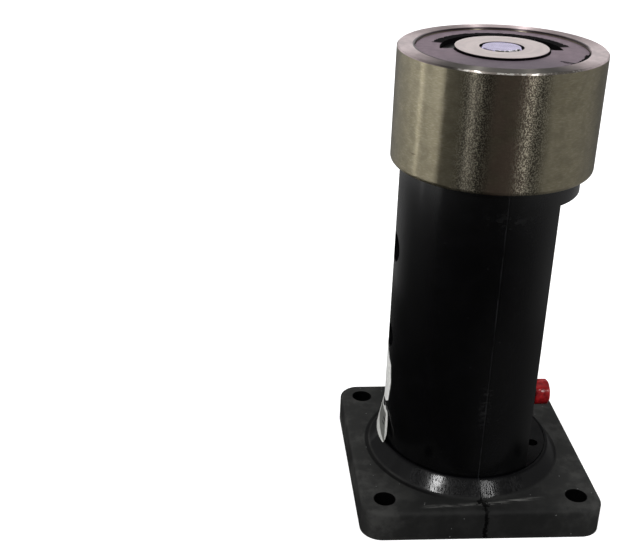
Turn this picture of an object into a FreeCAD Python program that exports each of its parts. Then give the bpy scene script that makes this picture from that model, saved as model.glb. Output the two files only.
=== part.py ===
import FreeCAD, Part
import Sketcher
import math
import os

# Holding electromagnet: a nickel-plated pot magnet on a moulded pedestal of two half shells
# with a square flange, a flat on one side of the post and a push button in that flat.
# Millimetres, +Z up, +X towards the button. The origin is the centre of the flange's underside.

os.makedirs("parts", exist_ok=True)
doc = FreeCAD.newDocument("holding_electromagnet")
sheet = doc.addObject("Spreadsheet::Sheet", "Sizes")

# Driving dimensions
DIMENSIONS = {
    # flange
    "base_width": 90.0,
    "base_height": 12.0,
    "base_corner": 8.0,
    "base_edge": 1.6,
    "base_skin": 3.5,
    "base_wall": 3.0,
    "hole_spacing": 72.0,
    "cut_margin": 1.0,
    "hole_bore": 8.0,
    "boss_diameter": 15.0,
    "rib_width": 3.0,
    "joint_rib_width": 6.0,
    # post
    "post_diameter": 63.5,
    "post_height": 131.5,
    "post_wall": 3.0,
    "deck_thickness": 6.0,
    "collar_height": 7.0,
    "flat_offset": 19.0,
    "foot_height": 6.0,
    "foot_crown": 0.7,
    "foot_spread": 4.7,
    "foot_crown_round": 0.9,
    "foot_toe_round": 1.2,
    "foot_gap": 0.3,
    "foot_gap_depth": 1.2,
    "ledge_hole_bore": 4.4,
    "ledge_hole_x": 25.6,
    "ledge_hole_y": -9.5,
    "ledge_skin": 3.5,
    # screws that join the two half shells
    "joint_upper_drop": 33.0,
    "joint_lower_rise": 44.0,
    "recess_upper": 11.0,
    "recess_lower": 9.2,
    "recess_floor": 12.0,
    "joint_boss_wall": 2.0,
    "joint_shank": 3.5,
    "joint_head": 7.4,
    "joint_head_height": 3.0,
    "joint_head_edge": 0.75,
    "joint_drive_length": 4.6,
    "joint_drive_width": 0.9,
    "joint_drive_depth": 1.6,
    "joint_screw_length": 22.0,
    "thread_clearance": 0.03,
    "bore_clearance": 0.25,
    "contact_gap": 0.02,
    "bore_end_room": 0.3,
    # magnet
    "magnet_diameter": 71.0,
    "magnet_height": 41.0,
    "magnet_wall": 6.0,
    "magnet_floor": 7.0,
    "magnet_foot_round": 1.5,
    "magnet_face_chamfer": 0.5,
    "core_diameter": 31.8,
    "core_spigot": 20.0,
    "spigot_clearance": 0.02,
    "pin_bore": 15.2,
    "pin_bore_depth": 16.0,
    "pin_guide_bore": 4.3,
    "pin_guide_depth": 4.0,
    "core_thread": 8.0,
    "lead_bore": 4.0,
    "lead_bore_x": -12.0,
    "lead_bore_y": 14.0,
    # coil
    "bobbin_clearance": 0.2,
    "bobbin_wall": 1.0,
    "bobbin_flange": 1.2,
    "bobbin_outer_gap": 0.3,
    "coil_gap": 0.3,
    "coil_height": 27.5,
    "cover_thickness": 1.8,
    "cover_recess": 0.8,
    "cover_gap": 0.25,
    "cover_slot_width": 4.8,
    "cover_slot_start": -6.0,
    "cover_slot_end": 176.0,
    "cover_slit_width": 0.6,
    "cover_slit_length": 5.0,
    "cover_slit_angle": -49.0,
    # ejector pin
    "pin_head": 13.7,
    "pin_head_height": 6.0,
    "pin_edge": 0.4,
    "pin_stem": 4.2,
    "pin_tail": 1.4,
    "pin_groove": 3.2,
    "clip_diameter": 6.8,
    "clip_thickness": 0.6,
    "clip_play": 0.05,
    "pin_spring_diameter": 10.0,
    "pin_spring_wire": 1.0,
    "pin_spring_turns": 4.0,
    # screw that fixes the magnet to the pedestal
    "magnet_screw_engagement": 13.0,
    "magnet_screw_head": 13.0,
    "magnet_screw_head_height": 8.0,
    "magnet_screw_socket": 6.0,
    "magnet_screw_socket_depth": 4.0,
    "magnet_washer": 22.0,
    "magnet_washer_thickness": 2.0,
    # push button
    "button_z": 35.5,
    "button_diameter": 10.0,
    "button_length": 6.6,
    "button_bush_gap": 0.6,
    "button_crown": 0.8,
    "button_edge": 0.6,
    "button_travel": 2.0,
    "plunger_diameter": 5.6,
    "plunger_tip": 9.0,
    "plunger_collar": 8.4,
    "plunger_collar_thickness": 1.5,
    "plunger_clearance": 0.08,
    "bush_diameter": 12.0,
    "bush_reach": 4.6,
    "nut_across": 15.0,
    "nut_thickness": 2.4,
    "nut_edge": 0.4,
    "washer_diameter": 16.0,
    "washer_thickness": 0.8,
    "switch_diameter": 16.0,
    "switch_back": 3.0,
    "switch_wall": 1.6,
    "switch_cavity": 9.2,
    "switch_cavity_front": 14.0,
    "button_spring_wire": 0.7,
    "button_spring_turns": 3.0,
    "tab_width": 2.8,
    "tab_thickness": 0.6,
    "tab_length": 7.0,
    "tab_pitch": 7.0,
    # terminal block
    "block_width": 15.0,
    "block_depth": 9.0,
    "block_height": 14.0,
    "block_z": 72.0,
    "block_x": -11.5,
    "block_seat_y": 17.0,
    "block_port": 3.0,
    "block_port_depth": 5.0,
    "block_pitch": 8.0,
    "block_screw": 3.0,
    "block_screw_head": 5.2,
    "block_screw_head_height": 1.8,
    "block_screw_edge": 0.7,
    "block_drive_length": 3.2,
    "block_drive_width": 0.7,
    "block_drive_depth": 1.0,
    "block_screw_length": 13.0,
    "clamp_screw": 3.2,
    "clamp_depth": 3.0,
    "clamp_proud": 0.4,
    "diode_diameter": 2.8,
    "diode_length": 4.6,
    "diode_lead": 0.7,
    # leads
    "lead_diameter": 1.6,
    "lead_bend": 5.0,
    "lead_strip": 2.0,
    "lead_spread": 0.9,
    "coil_lead_drop": 8.0,
    "coil_lead_approach": 12.0,
    "switch_lead_drop": 14.0,
    "switch_lead_approach": 9.0,
    "switch_lead_turn": 4.0,
    "switch_lead_end": 2.5,
    # label
    "label_thickness": 0.25,
    "label_top": 51.0,
    "label_curl": 22.0,
    "label_reach": 2.3,
    "label_fold": 1.0,
    "label_front_angle": 11.0,
    "label_back_angle": 26.0,
    "label_notch_depth": 14.0,
    "label_notch_tip": 5.0,
    "label_notch_top": 34.0,
    "label_notch_middle": 27.0,
    "label_notch_bottom": 23.0,
}


class Size:
    """A length together with the sheet formula that gives it."""

    def __init__(self, value, text):
        self.value = value
        self.text = text

    def __add__(self, other):
        other = as_size(other)
        return Size(self.value + other.value, f"({self.text} + {other.text})")

    def __radd__(self, other):
        return as_size(other) + self

    def __sub__(self, other):
        other = as_size(other)
        return Size(self.value - other.value, f"({self.text} - {other.text})")

    def __rsub__(self, other):
        return as_size(other) - self

    def __mul__(self, other):
        other = as_size(other)
        return Size(self.value * other.value, f"({self.text} * {other.text})")

    def __rmul__(self, other):
        return as_size(other) * self

    def __truediv__(self, other):
        other = as_size(other)
        return Size(self.value / other.value, f"({self.text} / {other.text})")

    def __neg__(self):
        return as_size(0) - self


def as_size(value):
    """Plain numbers become sizes that no cell drives."""
    if isinstance(value, Size):
        return value
    return Size(float(value), repr(float(value)))


def root(size):
    """Square root of a size, for the chord of a circle."""
    return Size(math.sqrt(size.value), f"sqrt({size.text})")


for row, (name, value) in enumerate(DIMENSIONS.items(), start=1):
    sheet.set(f"A{row}", name)
    sheet.set(f"B{row}", str(value))
    sheet.setAlias(f"B{row}", name)
doc.recompute()


def dim(name):
    """The named cell of the sheet as a size."""
    return Size(float(sheet.get(name)), f"Sizes.{name}")


def bind(thing, path, size):
    """Drive one property of an object from the sheet."""
    size = as_size(size)
    thing.setExpression(path, size.text)


# Helpers for sketches and features
ORIGIN_POINT = (-1, 1)
START = 1
END = 2
CENTRE = 3

# Turns that lay a piece's own axis along another one
ALONG_X = FreeCAD.Rotation(FreeCAD.Vector(0, 1, 0), 90)
ALONG_Y = FreeCAD.Rotation(FreeCAD.Vector(1, 0, 0), -90)

# How near to its place an edge is looked for
MATCH = 0.001

# Largest share of a lead's straight run that its bend takes
BEND_SHARE = 0.45

# Spring build: straight sides per turn, sides of the wire's section, corners cut to a mitre
SPRING_STEPS = 12
WIRE_SIDES = 8
MITRED = 1


def new_body(label):
    """An empty body that will hold one piece."""
    body = doc.addObject("PartDesign::Body", label)
    body.Label = label
    return body


def new_sketch(body, plane, name, offset=0.0):
    """A sketch on one of the body's own origin planes, moved along the plane's normal."""
    sketch = body.newObject("Sketcher::SketchObject", name)
    support = [feature for feature in body.Origin.OriginFeatures if feature.Role == plane][0]
    sketch.AttachmentSupport = [(support, "")]
    sketch.MapMode = "FlatFace"
    offset = as_size(offset)
    sketch.AttachmentOffset = FreeCAD.Placement(
        FreeCAD.Vector(0, 0, offset.value), FreeCAD.Rotation())
    bind(sketch, "AttachmentOffset.Base.z", offset)
    return sketch


def pin_point(sketch, geometry, position, x, y):
    """Hold one point of a sketch at x, y from its origin."""
    for kind, size in (("DistanceX", as_size(x)), ("DistanceY", as_size(y))):
        index = sketch.addConstraint(Sketcher.Constraint(
            kind, *ORIGIN_POINT, geometry, position, size.value))
        sketch.setExpression(f"Constraints[{index}]", size.text)


def add_outline(sketch, points):
    """A closed outline of straight lines through the given points."""
    sizes = [(as_size(x), as_size(y)) for x, y in points]
    corners = [FreeCAD.Vector(x.value, y.value, 0) for x, y in sizes]
    lines = []
    for start, end in zip(corners, corners[1:] + corners[:1]):
        lines.append(sketch.addGeometry(Part.LineSegment(start, end), False))
    for line, following in zip(lines, lines[1:] + lines[:1]):
        sketch.addConstraint(Sketcher.Constraint("Coincident", line, END, following, START))
    for line, (x, y) in zip(lines, sizes):
        pin_point(sketch, line, START, x, y)


def add_rectangle(sketch, left, bottom, right, top):
    """A rectangle between two corners."""
    add_outline(sketch, [(left, bottom), (right, bottom), (right, top), (left, top)])


def add_circle(sketch, x, y, radius):
    """A circle held by its centre and radius."""
    x, y, radius = as_size(x), as_size(y), as_size(radius)
    circle = sketch.addGeometry(
        Part.Circle(FreeCAD.Vector(x.value, y.value, 0), FreeCAD.Vector(0, 0, 1), radius.value), False)
    pin_point(sketch, circle, CENTRE, x, y)
    index = sketch.addConstraint(Sketcher.Constraint("Radius", circle, radius.value))
    sketch.setExpression(f"Constraints[{index}]", radius.text)


def add_chord(sketch, radius, chord_x, beyond=False):
    """A circle about the origin cut by an upright chord: the main part, or the part beyond."""
    radius, chord_x = as_size(radius), as_size(chord_x)
    angle = math.acos(chord_x.value / radius.value)
    half = radius.value * math.sin(angle)
    start, end = (-angle, angle) if beyond else (angle, 2 * math.pi - angle)
    circle = Part.Circle(FreeCAD.Vector(0, 0, 0), FreeCAD.Vector(0, 0, 1), radius.value)
    arc = sketch.addGeometry(Part.ArcOfCircle(circle, start, end), False)
    low = FreeCAD.Vector(chord_x.value, -half, 0)
    high = FreeCAD.Vector(chord_x.value, half, 0)
    line = sketch.addGeometry(Part.LineSegment(low, high), False)
    arc_low, arc_high = (START, END) if beyond else (END, START)
    sketch.addConstraint(Sketcher.Constraint("Coincident", arc, CENTRE, *ORIGIN_POINT))
    sketch.addConstraint(Sketcher.Constraint("Coincident", line, START, arc, arc_low))
    sketch.addConstraint(Sketcher.Constraint("Coincident", line, END, arc, arc_high))
    sketch.addConstraint(Sketcher.Constraint("Vertical", line))
    index = sketch.addConstraint(Sketcher.Constraint("Radius", arc, radius.value))
    sketch.setExpression(f"Constraints[{index}]", radius.text)
    index = sketch.addConstraint(Sketcher.Constraint(
        "DistanceX", *ORIGIN_POINT, line, START, chord_x.value))
    sketch.setExpression(f"Constraints[{index}]", chord_x.text)


def pad(body, sketch, name, length):
    """Material over a length along the sketch's normal."""
    feature = body.newObject("PartDesign::Pad", name)
    feature.Profile = sketch
    bind(feature, "Length", length)


def pocket(body, sketch, name, depth, outward=False):
    """A cut over a depth, against the sketch's normal or along it."""
    feature = body.newObject("PartDesign::Pocket", name)
    feature.Profile = sketch
    bind(feature, "Length", depth)
    feature.Reversed = outward


def revolve(body, sketch, name, forward=None, backward=None):
    """The sketch turned round the vertical axis, once or through two angles."""
    feature = body.newObject("PartDesign::Revolution", name)
    feature.Profile = sketch
    feature.ReferenceAxis = (sketch, ["V_Axis"])
    feature.Angle = 360.0
    if forward is not None:
        feature.Type = "TwoAngles"
        bind(feature, "Angle", forward)
        bind(feature, "Angle2", backward)


def turned_piece(label, points, z=0.0):
    """A body turned from a half outline of radius and height, standing at height z."""
    body = new_body(label)
    sketch = new_sketch(body, "XZ_Plane", f"{label}_outline")
    add_outline(sketch, points)
    revolve(body, sketch, f"{label}_turned")
    body.Placement = FreeCAD.Placement(FreeCAD.Vector(0, 0, as_size(z).value), FreeCAD.Rotation())
    bind(body, "Placement.Base.z", z)
    return body


def lying_piece(label, points, x, y, z, turn=ALONG_X):
    """A turned body whose own axis is turned to lie along X or Y, with its zero at x, y, z."""
    body = turned_piece(label, points)
    body.Placement = FreeCAD.Placement(
        FreeCAD.Vector(as_size(x).value, as_size(y).value, as_size(z).value), turn)
    bind(body, "Placement.Base.x", x)
    bind(body, "Placement.Base.y", y)
    bind(body, "Placement.Base.z", z)
    return body


def polar(radius, angle, across=0.0):
    """A point at a radius and an angle in degrees, moved sideways by a small distance."""
    radius, across = as_size(radius), as_size(across)
    turn = math.radians(angle.value)
    text_cos, text_sin = f"cos({angle.text} * 1 deg)", f"sin({angle.text} * 1 deg)"
    cosine, sine = Size(math.cos(turn), text_cos), Size(math.sin(turn), text_sin)
    return radius * cosine - across * sine, radius * sine + across * cosine


def cut_drive(body, name, level, length, width, depth, crossed=True):
    """A screwdriver's cross or slot, cut into a screw head whose top is at a level of its own axis."""
    sketch = new_sketch(body, "XY_Plane", name, level)
    reach, side = length / 2, width / 2
    if crossed:
        add_outline(sketch, [
            (reach, -side), (reach, side), (side, side), (side, reach), (-side, reach), (-side, side),
            (-reach, side), (-reach, -side), (-side, -side), (-side, -reach), (side, -reach),
            (side, -side)])
    else:
        add_rectangle(sketch, -reach, -side, reach, side)
    pocket(body, sketch, f"{name}_cut", depth, outward=True)


def edge_names(shape, wanted):
    """Names of the edges of a shape that pass a test."""
    return [f"Edge{number}" for number, edge in enumerate(shape.Edges, start=1) if wanted(edge)]


def dress(body, kind, name, wanted, size):
    """A fillet or chamfer on the edges that pass a test."""
    doc.recompute()
    base = body.Tip
    names = edge_names(base.Shape, wanted)
    if not names:
        raise RuntimeError(f"{name}: no edge found")
    feature = body.newObject(f"PartDesign::{kind}", name)
    feature.Base = (base, names)
    path = "Radius" if kind == "Fillet" else "Size"
    bind(feature, path, size)


def is_ring(edge, radius, height):
    """A full circle of the given radius at the given height."""
    curve = edge.Curve
    if not isinstance(curve, Part.Circle):
        return False
    return abs(curve.Radius - radius) < MATCH and abs(curve.Center.z - height) < MATCH


# Shared levels and radii
post_radius = dim("post_diameter") / 2
inner_radius = post_radius - dim("post_wall")
collar_z = dim("post_height") - dim("collar_height")
deck_z = dim("post_height") - dim("deck_thickness")
ledge_z = dim("base_height") + dim("foot_height")
flat_inner = dim("flat_offset") - dim("post_wall")
magnet_z = dim("post_height")
magnet_radius = dim("magnet_diameter") / 2
cup_radius = magnet_radius - dim("magnet_wall")
core_radius = dim("core_diameter") / 2
joint_z = {"upper": dim("post_height") - dim("joint_upper_drop"),
           "lower": ledge_z + dim("joint_lower_rise")}
half_base = dim("base_width") / 2
half_spacing = dim("hole_spacing") / 2


# Pedestal: one moulded form that is later divided into its two half shells
def make_pedestal_form():
    """Flange, flared foot, round post with its flat, hollow inside, bosses and bores."""
    body = new_body("pedestal_form")

    outline = new_sketch(body, "XY_Plane", "flange_outline")
    add_rectangle(outline, -half_base, -half_base, half_base, half_base)
    pad(body, outline, "flange", dim("base_height"))
    dress(body, "Fillet", "flange_corners",
          lambda edge: edge.Length > 1 and abs(edge.tangentAt(edge.FirstParameter).z) > 0.99,
          dim("base_corner"))
    top = dim("base_height").value
    dress(body, "Fillet", "flange_top_edge",
          lambda edge: all(abs(vertex.Z - top) < MATCH for vertex in edge.Vertexes),
          dim("base_edge"))

    # The foot slopes from its crown down to the flange, with a narrow gap between crown and post.
    section = new_sketch(body, "XZ_Plane", "post_section")
    gap_radius = post_radius + dim("foot_gap")
    crown_radius = gap_radius + dim("foot_crown")
    foot_radius = crown_radius + dim("foot_spread")
    add_outline(section, [
        (0, dim("base_height") - dim("base_skin")),
        (foot_radius, dim("base_height") - dim("base_skin")),
        (foot_radius, dim("base_height")),
        (crown_radius, ledge_z),
        (gap_radius, ledge_z),
        (gap_radius, ledge_z - dim("foot_gap_depth")),
        (post_radius, ledge_z - dim("foot_gap_depth")),
        (post_radius, dim("post_height")),
        (0, dim("post_height")),
    ])
    revolve(body, section, "post_and_foot")
    for name, radius, level in (("crown", crown_radius, ledge_z),
                                ("toe", foot_radius, dim("base_height"))):
        dress(body, "Fillet", f"foot_{name}_edge",
              lambda edge: is_ring(edge, radius.value, level.value), dim(f"foot_{name}_round"))

    # The flat on the button side runs from the ledge at the foot up to the collar.
    flat = new_sketch(body, "XY_Plane", "flat_outline", collar_z)
    reach = post_radius + dim("cut_margin")
    add_rectangle(flat, dim("flat_offset"), -reach, reach, reach)
    pocket(body, flat, "side_flat", collar_z - ledge_z)

    # Hollow of the post, closed by the deck and by the wall behind the flat
    hollow = new_sketch(body, "XY_Plane", "hollow_outline")
    add_chord(hollow, inner_radius, flat_inner)
    pocket(body, hollow, "post_hollow", deck_z, outward=True)

    # The ledge beyond the flat is cored out from below.
    core = new_sketch(body, "XY_Plane", "ledge_core_outline")
    add_chord(core, inner_radius, dim("flat_offset"), beyond=True)
    pocket(body, core, "ledge_core", ledge_z - dim("ledge_skin"), outward=True)

    # Hollow of the flange round the post's wall
    tray = new_sketch(body, "XY_Plane", "tray_outline")
    tray_half = half_base - dim("base_wall")
    add_rectangle(tray, -tray_half, -tray_half, tray_half, tray_half)
    add_circle(tray, 0, 0, post_radius)
    pocket(body, tray, "flange_hollow", dim("base_height") - dim("base_skin"), outward=True)

    # Ribs across the flange hollow, the wide pair along the joint of the half shells
    rise = dim("base_height") - dim("base_skin") / 2
    rib_inner = post_radius - dim("post_wall") / 2
    rib_outer = half_base - dim("base_wall") / 2
    ribs = new_sketch(body, "XY_Plane", "rib_outline")
    for sign in (1, -1):
        near, far = rib_inner * sign, rib_outer * sign
        left, right = (near, far) if sign > 0 else (far, near)
        add_rectangle(ribs, left, -dim("rib_width") / 2, right, dim("rib_width") / 2)
        add_rectangle(ribs, -dim("joint_rib_width") / 2, left, dim("joint_rib_width") / 2, right)
    pad(body, ribs, "flange_ribs", rise)

    bosses = new_sketch(body, "XY_Plane", "boss_outline")
    corners = [(half_spacing * i, half_spacing * j) for i in (-1, 1) for j in (-1, 1)]
    for x, y in corners:
        add_circle(bosses, x, y, dim("boss_diameter") / 2)
    pad(body, bosses, "flange_bosses", rise)

    # Crosswise bosses that take the screws of the half shells
    left_reach = post_radius - dim("post_wall") / 2
    right_reach = dim("flat_offset") - dim("post_wall") / 2
    for level in ("upper", "lower"):
        boss = new_sketch(body, "YZ_Plane", f"{level}_boss_outline", -left_reach)
        radius = dim(f"recess_{level}") / 2 + dim("joint_boss_wall")
        add_circle(boss, 0, joint_z[level], radius)
        pad(body, boss, f"{level}_joint_boss", left_reach + right_reach)

    # Seat of the terminal block on the back wall of the left half
    seat = new_sketch(body, "XY_Plane", "seat_outline", dim("block_z"))
    half_seat = dim("block_width") / 2
    far_x = dim("block_x") - half_seat
    seat_y = dim("block_seat_y")
    wall_middle = post_radius - dim("post_wall") / 2
    far_y = root(wall_middle * wall_middle - far_x * far_x)
    near_x = dim("block_x") + half_seat
    near_y = root(wall_middle * wall_middle - near_x * near_x)
    add_outline(seat, [(far_x, seat_y), (near_x, seat_y), (near_x, near_y), (far_x, far_y)])
    pad(body, seat, "block_seat", dim("block_height"))

    holes = new_sketch(body, "XY_Plane", "mounting_holes")
    for x, y in corners:
        add_circle(holes, x, y, dim("hole_bore") / 2)
    pocket(body, holes, "mounting_bores", dim("base_height"), outward=True)

    deck_holes = new_sketch(body, "XY_Plane", "deck_holes", deck_z)
    add_circle(deck_holes, 0, 0, dim("core_thread") / 2 + dim("bore_clearance"))
    add_circle(deck_holes, dim("lead_bore_x"), dim("lead_bore_y"), dim("lead_bore") / 2)
    pocket(body, deck_holes, "deck_bores", dim("deck_thickness"), outward=True)

    ledge_hole = new_sketch(body, "XY_Plane", "ledge_hole")
    add_circle(ledge_hole, dim("ledge_hole_x"), dim("ledge_hole_y"), dim("ledge_hole_bore") / 2)
    pocket(body, ledge_hole, "ledge_bore", ledge_z, outward=True)

    button_hole = new_sketch(body, "YZ_Plane", "button_hole", flat_inner)
    add_circle(button_hole, 0, dim("button_z"), dim("bush_diameter") / 2 + dim("thread_clearance"))
    pocket(body, button_hole, "button_bore", dim("post_wall"), outward=True)

    # Screw recesses from the left, then the clearance bore and the pilot bore
    for level in ("upper", "lower"):
        z = joint_z[level]
        recess = new_sketch(body, "YZ_Plane", f"{level}_recess", -dim("recess_floor"))
        add_circle(recess, 0, z, dim(f"recess_{level}") / 2)
        pocket(body, recess, f"{level}_recess_bore", post_radius)
        clear = new_sketch(body, "YZ_Plane", f"{level}_clear")
        add_circle(clear, 0, z, dim("joint_shank") / 2 + dim("bore_clearance"))
        pocket(body, clear, f"{level}_clear_bore", dim("recess_floor"))
        pilot = new_sketch(body, "YZ_Plane", f"{level}_pilot")
        add_circle(pilot, 0, z, dim("joint_shank") / 2 + dim("thread_clearance"))
        pocket(body, pilot, f"{level}_pilot_bore", right_reach - dim("joint_boss_wall"), outward=True)

    # Tapped bore in the seat for the terminal block's screw
    seat_bore = new_sketch(body, "XZ_Plane", "seat_bore", -dim("block_seat_y"))
    add_circle(seat_bore, dim("block_x"), dim("block_z") + dim("block_height") / 2,
               dim("block_screw") / 2 + dim("thread_clearance"))
    pocket(body, seat_bore, "seat_screw_bore",
           dim("block_screw_length") - dim("block_depth") + dim("bore_end_room"))
    return body


def half_of(form, label, side):
    """The half of the pedestal form on one side of the joint plane."""
    space = doc.addObject("Part::Box", f"{label}_space")
    reach = half_base + dim("cut_margin")
    bind(space, "Length", reach)
    bind(space, "Width", reach * 2)
    bind(space, "Height", dim("post_height") + dim("cut_margin"))
    if side < 0:
        bind(space, "Placement.Base.x", -reach)
    bind(space, "Placement.Base.y", -reach)
    half = doc.addObject("Part::Common", label)
    half.Label = label
    half.Base = form
    half.Tool = space
    return half


# Magnet
def make_magnet_shell():
    """Steel pot with a bored floor, a rounded lower edge and a ground pole ring."""
    height, floor = dim("magnet_height"), dim("magnet_floor")
    spigot = dim("core_spigot") / 2 + dim("spigot_clearance")
    body = turned_piece("magnet_shell", [
        (spigot, 0), (magnet_radius, 0), (magnet_radius, height),
        (cup_radius, height), (cup_radius, floor), (spigot, floor)], magnet_z)
    radius = magnet_radius.value
    dress(body, "Fillet", "shell_lower_edge",
          lambda edge: is_ring(edge, radius, 0), dim("magnet_foot_round"))
    top = height.value
    dress(body, "Chamfer", "shell_face_edge",
          lambda edge: is_ring(edge, radius, top), dim("magnet_face_chamfer"))
    doc.recompute()
    lead = new_sketch(body, "XY_Plane", "shell_lead_hole")
    add_circle(lead, dim("lead_bore_x"), dim("lead_bore_y"), dim("lead_bore") / 2)
    pocket(body, lead, "shell_lead_bore", floor, outward=True)
    return body


def make_pole_core():
    """Inner pole with the pin's bore above and the fixing thread below."""
    height, floor = dim("magnet_height"), dim("magnet_floor")
    bore_floor = height - dim("pin_bore_depth")
    guide_floor = bore_floor - dim("pin_guide_depth")
    thread = dim("core_thread") / 2 + dim("thread_clearance")
    return turned_piece("pole_core", [
        (thread, 0), (dim("core_spigot") / 2, 0), (dim("core_spigot") / 2, floor),
        (core_radius, floor), (core_radius, height), (dim("pin_bore") / 2, height),
        (dim("pin_bore") / 2, bore_floor), (dim("pin_guide_bore") / 2, bore_floor),
        (dim("pin_guide_bore") / 2, guide_floor), (thread, guide_floor)], magnet_z)


bobbin_bore = core_radius + dim("bobbin_clearance")
bobbin_drum = bobbin_bore + dim("bobbin_wall")
bobbin_rim = cup_radius - dim("bobbin_outer_gap")
bobbin_bottom = dim("magnet_floor")
winding_bottom = bobbin_bottom + dim("bobbin_flange")
winding_top = winding_bottom + dim("coil_height")
bobbin_top = winding_top + dim("bobbin_flange")
cover_top = dim("magnet_height") - dim("cover_recess")
cover_bottom = cover_top - dim("cover_thickness")


def make_coil():
    """Bobbin, winding and the potting over them."""
    bobbin = turned_piece("coil_bobbin", [
        (bobbin_bore, bobbin_bottom), (bobbin_rim, bobbin_bottom), (bobbin_rim, winding_bottom),
        (bobbin_drum, winding_bottom), (bobbin_drum, winding_top), (bobbin_rim, winding_top),
        (bobbin_rim, bobbin_top), (bobbin_bore, bobbin_top)], magnet_z)
    lead = new_sketch(bobbin, "XY_Plane", "bobbin_lead_hole", bobbin_bottom)
    add_circle(lead, dim("lead_bore_x"), dim("lead_bore_y"), dim("lead_bore") / 2)
    pocket(bobbin, lead, "bobbin_lead_bore", dim("bobbin_flange"), outward=True)
    winding = turned_piece("coil_winding", [
        (bobbin_drum, winding_bottom), (bobbin_rim - dim("coil_gap"), winding_bottom),
        (bobbin_rim - dim("coil_gap"), winding_top), (bobbin_drum, winding_top)], magnet_z)
    potting = turned_piece("potting_ring", [
        (bobbin_bore, bobbin_top), (bobbin_rim, bobbin_top),
        (bobbin_rim, cover_bottom), (bobbin_bore, cover_bottom)], magnet_z)
    return [bobbin, winding, potting]


def ring_sector(sketch, inner, outer, start, end):
    """A ring sector about the origin between two angles in degrees."""
    inner, outer = as_size(inner), as_size(outer)
    angles = [math.radians(start.value), math.radians(end.value)]
    arcs = []
    for radius in (inner, outer):
        circle = Part.Circle(FreeCAD.Vector(0, 0, 0), FreeCAD.Vector(0, 0, 1), radius.value)
        arc = sketch.addGeometry(Part.ArcOfCircle(circle, *angles), False)
        sketch.addConstraint(Sketcher.Constraint("Coincident", arc, CENTRE, *ORIGIN_POINT))
        index = sketch.addConstraint(Sketcher.Constraint("Radius", arc, radius.value))
        sketch.setExpression(f"Constraints[{index}]", radius.text)
        arcs.append(arc)
    for position, angle in ((START, start), (END, end)):
        ends = [FreeCAD.Vector(radius.value * math.cos(math.radians(angle.value)),
                               radius.value * math.sin(math.radians(angle.value)), 0)
                for radius in (inner, outer)]
        side = sketch.addGeometry(Part.LineSegment(*ends), False)
        sketch.addConstraint(Sketcher.Constraint("Coincident", side, START, arcs[0], position))
        sketch.addConstraint(Sketcher.Constraint("Coincident", side, END, arcs[1], position))
        index = sketch.addConstraint(Sketcher.Constraint(
            "Angle", side, math.radians(angle.value)))
        sketch.setExpression(f"Constraints[{index}]", f"{angle.text} * 1 deg")
        sketch.addConstraint(Sketcher.Constraint("PointOnObject", *ORIGIN_POINT, side))


def make_pole_cover():
    """Plastic ring over the coil, with an arc slot behind the core and a slit at its rim."""
    body = turned_piece("pole_cover", [
        (bobbin_bore, cover_bottom), (cup_radius - dim("cover_gap"), cover_bottom),
        (cup_radius - dim("cover_gap"), cover_top), (bobbin_bore, cover_top)], magnet_z)
    slot = new_sketch(body, "XY_Plane", "cover_slot", cover_bottom)
    ring_sector(slot, bobbin_bore - dim("cut_margin"), bobbin_bore + dim("cover_slot_width"),
                dim("cover_slot_start"), dim("cover_slot_end"))
    pocket(body, slot, "cover_arc_slot", dim("cover_thickness"), outward=True)
    slit = new_sketch(body, "XY_Plane", "cover_slit", cover_bottom)
    rim, angle = cup_radius - dim("cover_gap"), dim("cover_slit_angle")
    side = dim("cover_slit_width") / 2
    inner, outer = rim - dim("cover_slit_length"), rim + dim("cut_margin")
    add_outline(slit, [polar(inner, angle, -side), polar(outer, angle, -side),
                       polar(outer, angle, side), polar(inner, angle, side)])
    pocket(body, slit, "cover_rim_slit", dim("cover_thickness"), outward=True)
    return body


# Ejector pin
def make_ejector_pin():
    """Flush pin with a broad head, a stem through the core's guide and a clip groove."""
    height = dim("magnet_height")
    bore_floor = height - dim("pin_bore_depth")
    clip_top = bore_floor - dim("pin_guide_depth") - dim("clip_play")
    clip_bottom = clip_top - dim("clip_thickness")
    stem, groove = dim("pin_stem") / 2, dim("pin_groove") / 2
    head = dim("pin_head") / 2
    pin = turned_piece("ejector_pin", [
        (0, clip_bottom - dim("pin_tail")), (stem, clip_bottom - dim("pin_tail")),
        (stem, clip_bottom), (groove, clip_bottom), (groove, clip_top), (stem, clip_top),
        (stem, height - dim("pin_head_height")), (head, height - dim("pin_head_height")),
        (head, height - dim("pin_edge")), (head - dim("pin_edge"), height), (0, height)], magnet_z)
    clip = turned_piece("ejector_clip", [
        (groove, clip_bottom), (dim("clip_diameter") / 2, clip_bottom),
        (dim("clip_diameter") / 2, clip_top), (groove, clip_top)], magnet_z)
    return [pin, clip]


def coil_spring(label, diameter, wire, turns, length, placement):
    """A wire spring with its axis along its own Z, its helix and section in short straight sides."""
    mean, radius = diameter.value / 2, wire.value / 2
    rise = length.value - wire.value
    count = int(round(turns.value * SPRING_STEPS))
    points = []
    for step in range(count + 1):
        angle = 2 * math.pi * step / SPRING_STEPS
        points.append(FreeCAD.Vector(
            mean * math.cos(angle), mean * math.sin(angle), radius + rise * step / count))
    heading = (points[1] - points[0]).normalize()
    outward = FreeCAD.Vector(1, 0, 0)
    upward = heading.cross(outward)
    corners = []
    for side in range(WIRE_SIDES):
        turn = 2 * math.pi * (side + 0.5) / WIRE_SIDES
        corners.append(points[0] + (outward * math.cos(turn) + upward * math.sin(turn)) * radius)
    section = Part.makePolygon(corners + corners[:1])
    spring = doc.addObject("Part::Feature", label)
    spring.Label = label
    spring.Shape = Part.makePolygon(points).makePipeShell([section], True, True, MITRED)
    spring.Placement = placement
    return spring


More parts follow.
